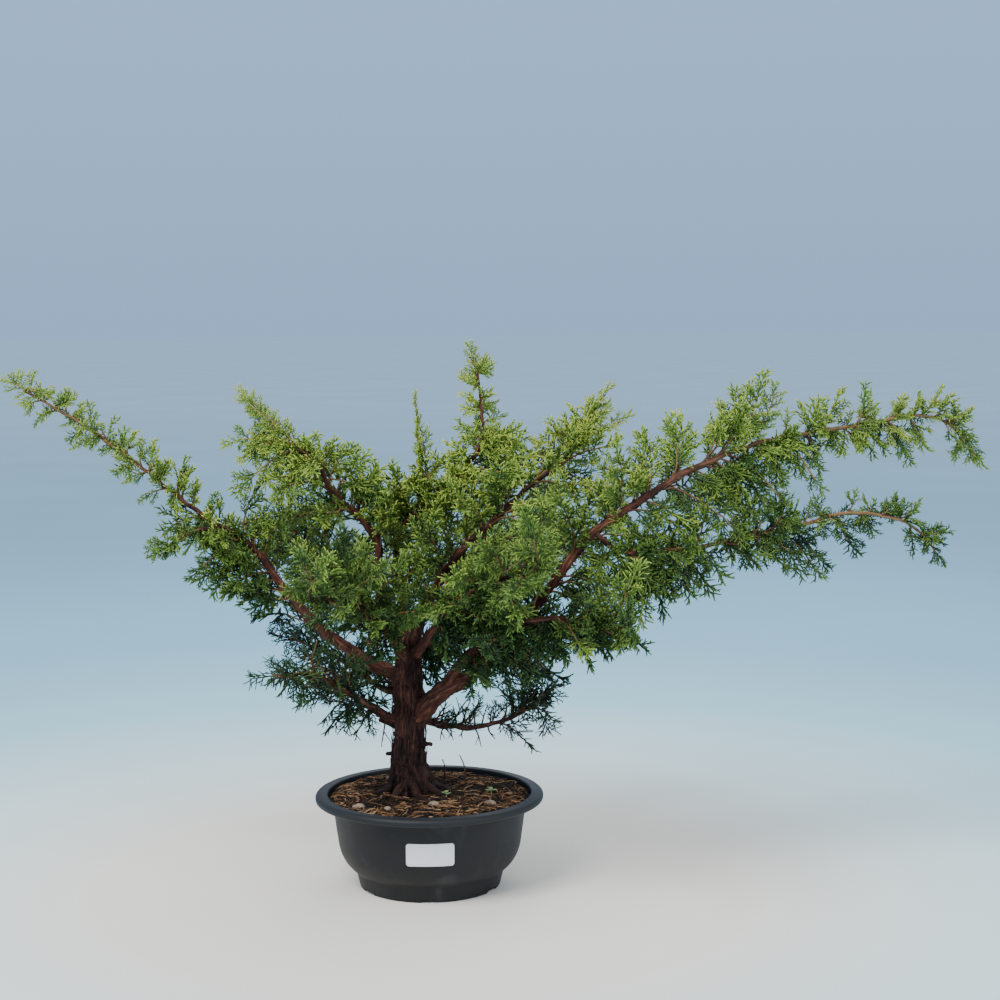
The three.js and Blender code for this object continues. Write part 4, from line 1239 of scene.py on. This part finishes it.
def held_inside(end):
    """The end of a twig, moved up or down until it lies inside the crown as seen from the front."""
    scale = front_scale(end[1])
    across, height = end[0] * scale, EYE_HEIGHT + (end[2] - EYE_HEIGHT) * scale
    top = np.interp(across, *zip(*CROWN_TOP)) - 16
    bottom = np.interp(across, *zip(*CROWN_BOTTOM)) + 12
    height = min(max(height, bottom), top)
    return np.array([end[0], end[1], EYE_HEIGHT + (height - EYE_HEIGHT) / scale])


# Faded brown tufts inside the crown, by limb: where each ends and the size of its sprays.
FADED = {
    "right_inner": [(84, -85, 234, 0.8), (98, -95, 240, 0.7), (74, -80, 238, 0.7)],
    "right_main": [(92, -78, 272, 0.7), (84, -84, 282, 0.7)],
    "front_left": [(-50, -92, 262, 0.7)],
    "centre_right": [(12, -48, 290, 0.6)],
}


def placed_twigs(name, path):
    """The listed twigs of a limb: where each starts along the limb, and how it grows."""
    low = name in LOW_LIMBS
    twigs = []
    for row in TWIGS[name]:
        end, size = np.array(row[:3], float), row[3] if len(row) > 3 else USUAL_SIZE
        index, tangent = leave_limb(path, end)
        if len(row) > 4:
            index, tangent = int(row[4] * len(path)), UP
        kinds = ["airy", "airy", "juvenile"] if low else ["adult", "narrow", "adult"]
        reached = end - unit(end - path[index]) * 21 * size
        gap = 5.2 * size + 0.6
        # Each twig takes the painted light and shade of the place where it ends.
        twigs.append((index, path[index], tangent, reached, kinds, size, gap, painted_crown_light(end), 1.3))
    for *end, size in FADED.get(name, []):
        index, tangent = leave_limb(path, np.array(end, float))
        twigs.append((index, path[index], tangent, np.array(end, float), ["faded"], size, 5.0, 0.55, 1.0))
    return twigs


def filling_twigs(name, path, rng):
    """Twigs all round the inner part of a limb, each with its end point."""
    low = name in LOW_LIMBS
    first, last, gap, reach = FILLING[name]
    count = int(limb_length(LIMBS[name][0]) * (last - first) / gap)
    twigs = []
    for i in range(count):
        t = first + (last - first) * (i + rng.uniform(0.1, 0.9)) / count
        index = min(int(t * (len(path) - 1)), len(path) - 2)
        tangent = limb_direction(path, index)
        sideways = crossways(tangent, np.array([0.31, 0.2, 1.0]))
        third = np.cross(tangent, sideways)
        around = i * GOLDEN_TURN + len(name)
        radial = sideways * math.cos(around) + third * math.sin(around)
        way = unit(0.6 * tangent + 0.8 * radial + UP * 0.22)
        end = path[index] + way * reach * rng.uniform(0.65, 1.15)
        end = end if low else held_inside(end)
        kinds = ["airy", "airy", "dead", "juvenile"] if low else ["adult", "adult", "narrow", "adult", "airy"]
        # Filling twigs inside the crown get a little less painted light than the place where they end.
        light = painted_crown_light(end) - 0.03 + rng.normal(0, 0.06)
        twigs.append((index, path[index], tangent, end, kinds, USUAL_SIZE, 5.5, light, 1.2))
    return twigs


def tuft_twigs(name, path, rng):
    """Short side shoots close to the outer part of a limb, mostly on its upper and lower sides."""
    first, last, gap, reach = TUFTS.get(name, (0, 0, 1, 0))
    length = limb_length(LIMBS[name][0])
    twigs = []
    for i in range(int(length * (last - first) / gap)):
        t = first + gap * (i + rng.uniform(0.1, 0.9)) / length
        index = min(int(t * (len(path) - 1)), len(path) - 2)
        tangent = limb_direction(path, index)
        radial = crossways(tangent, UP * (-1) ** i + rng.normal(0, 0.6, 3))
        end = path[index] + unit(0.75 * tangent + 0.7 * radial) * reach * rng.uniform(0.7, 1.3)
        # Each tuft takes the painted light and shade of the place where it ends, varied at random.
        light = painted_crown_light(end) + rng.normal(0, 0.06)
        twigs.append((index, path[index], tangent, end, ["narrow", "adult"], 0.62, 6.0, light, 1.0))
    return twigs


def make_foliage():
    material = foliage_material()
    templates = make_templates()
    lines = open_lines()
    for number, (name, groups) in enumerate(SPRAY_NODES.items()):
        path = route(LIMBS[name][0], LIMB_STEPS)
        rng = np.random.default_rng(40 + number)
        twigs = placed_twigs(name, path) + filling_twigs(name, path, rng) + tuft_twigs(name, path, rng)
        twigs.sort(key=lambda twig: twig[0])
        for part, nodes in enumerate(groups):
            plants = Foliage(templates, lines, 1000 + 10 * number + part)
            first, last = part * len(twigs) // len(groups), (part + 1) * len(twigs) // len(groups)
            for twig in twigs[first:last]:
                plants.add_leafy_twig(*twig[1:])
            plants.build("leaves_" + nodes[0], ["spray_" + node for node in nodes], material)


# ---------------------------------------------------------------- soil and what lies on it
SOIL_TOP = [(0, 92), (40, 91.5), (70, 90.5), (88, 89), (97.5, 87)]
SOIL_SIDE = [(98.3, 84.4), (92.2, 79.8), (86.7, 41.6), (84.8, 34.9), (82.0, 29.0), (78.5, 23.9),
             (74.2, 20.5), (69.2, 17), (63.6, 5.8)]


def soil_height(x, y):
    radius = np.hypot(x, y)
    base = np.interp(radius, [r for r, _ in SOIL_TOP], [z for _, z in SOIL_TOP])
    flat = np.stack([x, y, np.zeros_like(x)], -1)
    lumps = 1.3 * layered_noise(flat / 13, 3, 2) + 0.7 * layered_noise(flat / 3.2, 7, 3)
    return base + lumps * np.clip((98 - radius) / 6, 0.15, 1)


def soil_at(x, y):
    return float(soil_height(np.array([x]), np.array([y]))[0])


def soil_material():
    material, tree, shader = new_material("soil", 0.95, 0.15)
    place = object_place(tree)
    crumbs = noise_texture(tree, place, 320, 6, 0.7)
    patches = noise_texture(tree, place, 45, 4, 0.6)
    grain = ramp(tree, crumbs, [(0.32, (0.004, 0.003, 0.002)), (0.55, (0.014, 0.009, 0.006)),
                                               (0.75, (0.060, 0.034, 0.018))])
    tone = ramp(tree, patches, [(0.35, 0.5), (0.65, 1.0)])
    set_colour(tree, shader, mix(tree, 1.0, grain, tone, "MULTIPLY"))
    bump(tree, shader, crumbs, 0.9, 0.0015)
    return material


def make_soil():
    rings = np.concatenate([[0], np.linspace(1.2, 97.5, 110)])
    outline = [(0, 5.8)] + list(reversed(SOIL_SIDE)) + [(r, 0) for r in rings[::-1]]
    points, faces = turned(np.array(outline, float), 300)
    top = points[:, 2] == 0
    points[top, 2] = soil_height(points[top, 0], points[top, 1])
    make_mesh("soil_bed", points, faces, None, soil_material(), ["soil"])


LITTER_LOW = [(0.0, (0.006, 0.004, 0.003)), (0.45, (0.035, 0.015, 0.008)), (0.75, (0.15, 0.055, 0.020)),
              (1.0, (0.38, 0.19, 0.070))]
LITTER_HIGH = [(0.0, (0.020, 0.015, 0.011)), (0.5, (0.13, 0.085, 0.050)), (1.0, (0.46, 0.36, 0.23))]
NEEDLE_COUNT, CHIP_COUNT, CRUMB_COUNT = 1900, 190, 1700
SOIL_EDGE = 96.5
PEBBLE_SINK = 1


def scatter(rng, count, widest=95):
    """Places on the soil, clear of the trunk."""
    radius = widest * np.sqrt(rng.uniform(0.03, 1, count))
    angle = rng.uniform(0, TAU, count)
    x, y = radius * np.cos(angle), radius * np.sin(angle)
    clear = np.hypot(x + 18, y) > 25
    return x[clear], y[clear]


def blob(centre, size, seed, rough, rows, columns):
    """A closed lumpy pebble."""
    up = np.linspace(0, math.pi, rows + 1)[1:-1]
    around = np.arange(columns) * TAU / columns
    ring = np.stack([np.outer(np.sin(up), np.cos(around)), np.outer(np.sin(up), np.sin(around)),
                     -np.broadcast_to(np.cos(up)[:, None], (rows - 1, columns))], -1).reshape(-1, 3)
    points = np.vstack([ring, [[0, 0, -1], [0, 0, 1]]])
    points = points * (1 + rough * layered_noise(points * 1.3 + seed * 3.7, seed, 2))[:, None] * size + centre
    return points, closed_rings(rows - 1, columns)


def add_needles(batch, rng):
    """Fallen needles lying in drifts, with few of them near the trunk."""
    x, y = scatter(rng, NEEDLE_COUNT)
    drift = layered_noise(np.stack([x, y, np.zeros_like(x)], -1) / 16, 19, 2)
    near_trunk = np.hypot(x + 14, y + 8) < 44
    kept = (drift + rng.normal(0, 0.25, len(x)) > -0.10) & ~(near_trunk & (rng.random(len(x)) < 0.75))
    x, y = x[kept], y[kept]
    turn = rng.uniform(0, TAU, len(x))
    half = rng.uniform(2.5, 11, len(x))
    paths = []
    for t in (-1, -0.35, 0.35, 1):
        px, py = x + half * t * np.cos(turn + 0.15 * t), y + half * t * np.sin(turn + 0.15 * t)
        shrink = np.minimum(1, SOIL_EDGE / np.maximum(np.hypot(px, py), 1))
        px, py = px * shrink, py * shrink
        paths.append(np.stack([px, py, soil_height(px, py) + 0.9 + 0.5 * (1 - t * t)], 1))
    paths = np.stack(paths, 1)
    paths[:, :, 2] += rng.normal(0, 0.7, len(x))[:, None] * np.array([-1, -0.3, 0.3, 1])
    radii = np.linspace(1.0, 0.7, 4)[None] * rng.uniform(0.28, 0.62, len(x))[:, None]
    points, faces, each = cords(paths, radii, 4)
    tint = np.stack([rng.uniform(0.05, 1.0, len(x)), rng.uniform(0, 0.8, len(x)) ** 2], 1)
    batch.add(points, faces, np.repeat(tint, each, 0))


def add_small_chips(batch, rng):
    for x, y in zip(*scatter(rng, CHIP_COUNT, 91)):
        size = rng.uniform((1.5, 0.9, 0.3), (4.6, 2.4, 0.7))
        shape, faces = blob((0, 0, 0), size, int(rng.integers(1000)), 0.3, 4, 7)
        turn, tilt = rng.uniform(0, TAU), rng.normal(0, 0.3)
        tint = (rng.uniform(0.05, 0.9), rng.uniform(0, 0.5))
        batch.add(spun(shape, turn, tilt) + [x, y, soil_at(x, y) + 0.7], faces, tint)


def add_crumbs(batch, rng):
    for x, y in zip(*scatter(rng, CRUMB_COUNT, 95)):
        size = rng.uniform(0.5, 1.9) * rng.uniform((0.8, 0.8, 0.6), (1.2, 1.2, 1.0))
        place = (x, y, soil_at(x, y) + 0.3 * size[2])
        shape, faces = blob(place, size, int(rng.integers(1000)), 0.2, 4, 6)
        batch.add(shape, faces, (rng.uniform(0, 0.45), rng.uniform(0, 0.25)))


def make_litter():
    rng = np.random.default_rng(8)
    batch = Batch()
    add_needles(batch, rng)
    add_small_chips(batch, rng)
    add_crumbs(batch, rng)
    for (x, y, z), size, turn in CHIPS:
        shape, faces = blob((0, 0, 0), np.array(size) / 2, size[0], 0.25, 9, 22)
        batch.add(spun(shape, turn, 0.1) + [x, y, z + 0.4], faces, (0.75, 0.25))
    material = palette_material("litter", LITTER_LOW, LITTER_HIGH, 0.85)
    batch.build("soil_litter", material, "litter", ["bark_chip_front", "bark_chip_left", "bark_chip_right"])


# The small things that lie or stand on the soil: places, sizes and turns, as in the CAD.
CHIPS = [((16, -62, 91.8), (17, 7, 2.2), 0.3), ((-74, -18, 91.2), (15, 6, 2.0), -0.5),
         ((78, -12, 91), (14, 7, 2.2), 1.2)]
PEBBLES = {"pebble_front": ((4, -52, 92.5), (6, 5, 4)), "pebble_left": ((-68, -48, 90.5), (6.5, 5, 3.5)),
           "pebble_middle": ((-40, -60, 91), (4, 4.5, 3)), "pebble_right": ((58, -46, 91.5), (6, 5, 3.5))}
STEMS = {"fallen_twig": ([(-44, -26, 95.5), (-32, -34, 95), (-20, -40, 93.5)], (1.5, 1.2)),
         "dry_stalk_back": ([(14, 30, 86), (16, 31, 104), (13, 30, 116)], (0.9, 0.5)),
         "dry_stalk_right": ([(34, 22, 86), (36, 23, 106), (30, 22, 122)], (0.9, 0.5))}
SEEDLINGS = {"seedling_round": ((60, -18, 92), 5, 4, 6), "seedling_narrow": ((16, -30, 92.5), 5, 5, 5)}


def stone_material():
    material, tree, shader = new_material("pebble_stone", 0.75, 0.3)
    place = object_place(tree)
    speckle = noise_texture(tree, place, 900, 4, 0.7)
    bands = noise_texture(tree, place, 130, 4)
    base = ramp(tree, bands, [(0.35, (0.15, 0.105, 0.070)), (0.65, (0.40, 0.31, 0.22))])
    dots = ramp(tree, speckle, [(0.40, 0.5), (0.60, 1.0)])
    set_colour(tree, shader, mix(tree, 0.7, base, dots, "MULTIPLY"))
    bump(tree, shader, speckle, 0.4, 0.0004)
    return material


def make_pebbles():
    stone = stone_material()
    for number, (name, (centre, size)) in enumerate(PEBBLES.items()):
        middle = np.array(centre, float) - [0, 0, PEBBLE_SINK]
        radii = np.array(size, float) * [0.95, 0.95, 0.85]
        points, faces = blob(middle, radii, 30 + number, 0.14, 18, 28)
        make_mesh(name + "_stone", points, faces, None, stone, [name])


def make_stems():
    dry = palette_material("dry_stem", LITTER_LOW, LITTER_HIGH, 0.8)
    steps = 22
    for name, (points, (thick, thin)) in STEMS.items():
        batch = Batch()
        path = route(points, steps)
        path[:, 0] += 0.5 * np.sin(np.linspace(0, 9, steps))
        shape, faces, _ = cords(path[None], np.linspace(thick, thin, steps)[None], 10)
        shades = 0.45 + 0.4 * noise(shape * np.array([1, 1, 0.4]), 5)
        batch.add(shape, faces, np.stack([np.clip(shades, 0.05, 1), np.full(len(shape), 0.1)], 1))
        batch.build(name + "_stem", dry, "litter", [name])


def add_seed_leaf(batch, number, leaves, length, place):
    """One leaf of a seedling, cupped and with its tip hanging."""
    shape, faces = blob((0, 0, 0), np.array([length / 2, length / 3.4, 0.45]), number, 0.05, 12, 20)
    shape[:, 2] -= 0.05 * (shape[:, 0] + length / 2) ** 2 - 0.06 * shape[:, 1] ** 2
    shape = spun(shape + [length / 2, 0, 0], TAU * number / leaves, -0.45) + place
    vein = np.clip(np.abs(shape[:, 2] - place[2]) / 3, 0, 1)
    batch.add(shape, faces, np.stack([0.35 + 0.5 * vein, np.full(len(shape), 0.4)], 1))


def make_seedlings():
    fresh = palette_material("seedling_leaf", [(0.0, (0.03, 0.09, 0.02)), (1.0, (0.16, 0.34, 0.09))],
                             [(0.0, (0.10, 0.16, 0.05)), (1.0, (0.35, 0.50, 0.20))], 0.45)
    for name, (centre, height, leaves, length) in SEEDLINGS.items():
        batch = Batch()
        centre = np.array(centre, float)
        stem = np.array([centre + [0, 0, -5], centre + [0.3, 0, height * 0.5], centre + [0, 0, height]])
        shape, faces, _ = cords(route(stem, 8)[None], np.linspace(0.7, 0.45, 8)[None], 8)
        batch.add(shape, faces, (0.6, 0.5))
        for i in range(leaves):
            place = centre + [0, 0, height * (0.72 + 0.25 * (i % 2))]
            add_seed_leaf(batch, i, leaves, length, place)
        batch.build(name + "_plant", fresh, "seedling", [name])


# ---------------------------------------------------------------- stage
# The cloth's colours, from under the pot out to its reach in metres. Past 2.5 m the blue is painted lighter:
# painted light that makes up for the lamps' light falling off far out.
CLOTH_REACH = 10.0
CLOTH_COLOURS_AND_LIGHT = [(0.03, (0.80, 0.77, 0.70)), (0.055, (0.62, 0.79, 0.83)), (0.09, (0.38, 0.67, 0.79)),
                 (0.142, (0.29, 0.56, 0.74)), (0.25, (0.30, 0.53, 0.71)), (0.45, (0.41, 0.66, 0.85)),
                 (1.0, (0.52, 0.72, 0.92))]
CLOTH_HALF = 60.0


def make_floor():
    """A wide plain cloth, cream near the pot and blue far from it, the far blue painted lighter."""
    material, tree, shader = new_material("floor_cloth", 0.9, 0.1)
    place = object_place(tree)
    mottle = noise_texture(tree, place, 1.5, 3)
    distance = add_node(tree, "ShaderNodeVectorMath", {"operation": "LENGTH"})
    tree.links.new(place, distance.inputs[0])
    share = add_node(tree, "ShaderNodeMapRange", Value=distance.outputs["Value"], From_Max=CLOTH_REACH)
    cloth_and_light = ramp(tree, share.outputs["Result"], CLOTH_COLOURS_AND_LIGHT)
    shade = ramp(tree, mottle, [(0.3, 0.93), (0.7, 1.0)])
    set_colour(tree, shader, mix(tree, 1.0, cloth_and_light, shade, "MULTIPLY"))
    mesh = bpy.data.meshes.new("floor")
    corners = [(-CLOTH_HALF, -CLOTH_HALF, 0), (CLOTH_HALF, -CLOTH_HALF, 0),
               (CLOTH_HALF, CLOTH_HALF, 0), (-CLOTH_HALF, CLOTH_HALF, 0)]
    mesh.from_pydata(corners, [], [(0, 1, 2, 3)])
    floor = bpy.data.objects.new("floor", mesh)
    bpy.context.scene.collection.objects.link(floor)
    mesh.materials.append(material)


make_camera()
make_lights()
make_floor()
make_pot()
make_label()
make_wood()
make_foliage()
make_soil()
make_litter()
make_pebbles()
make_stems()
make_seedlings()
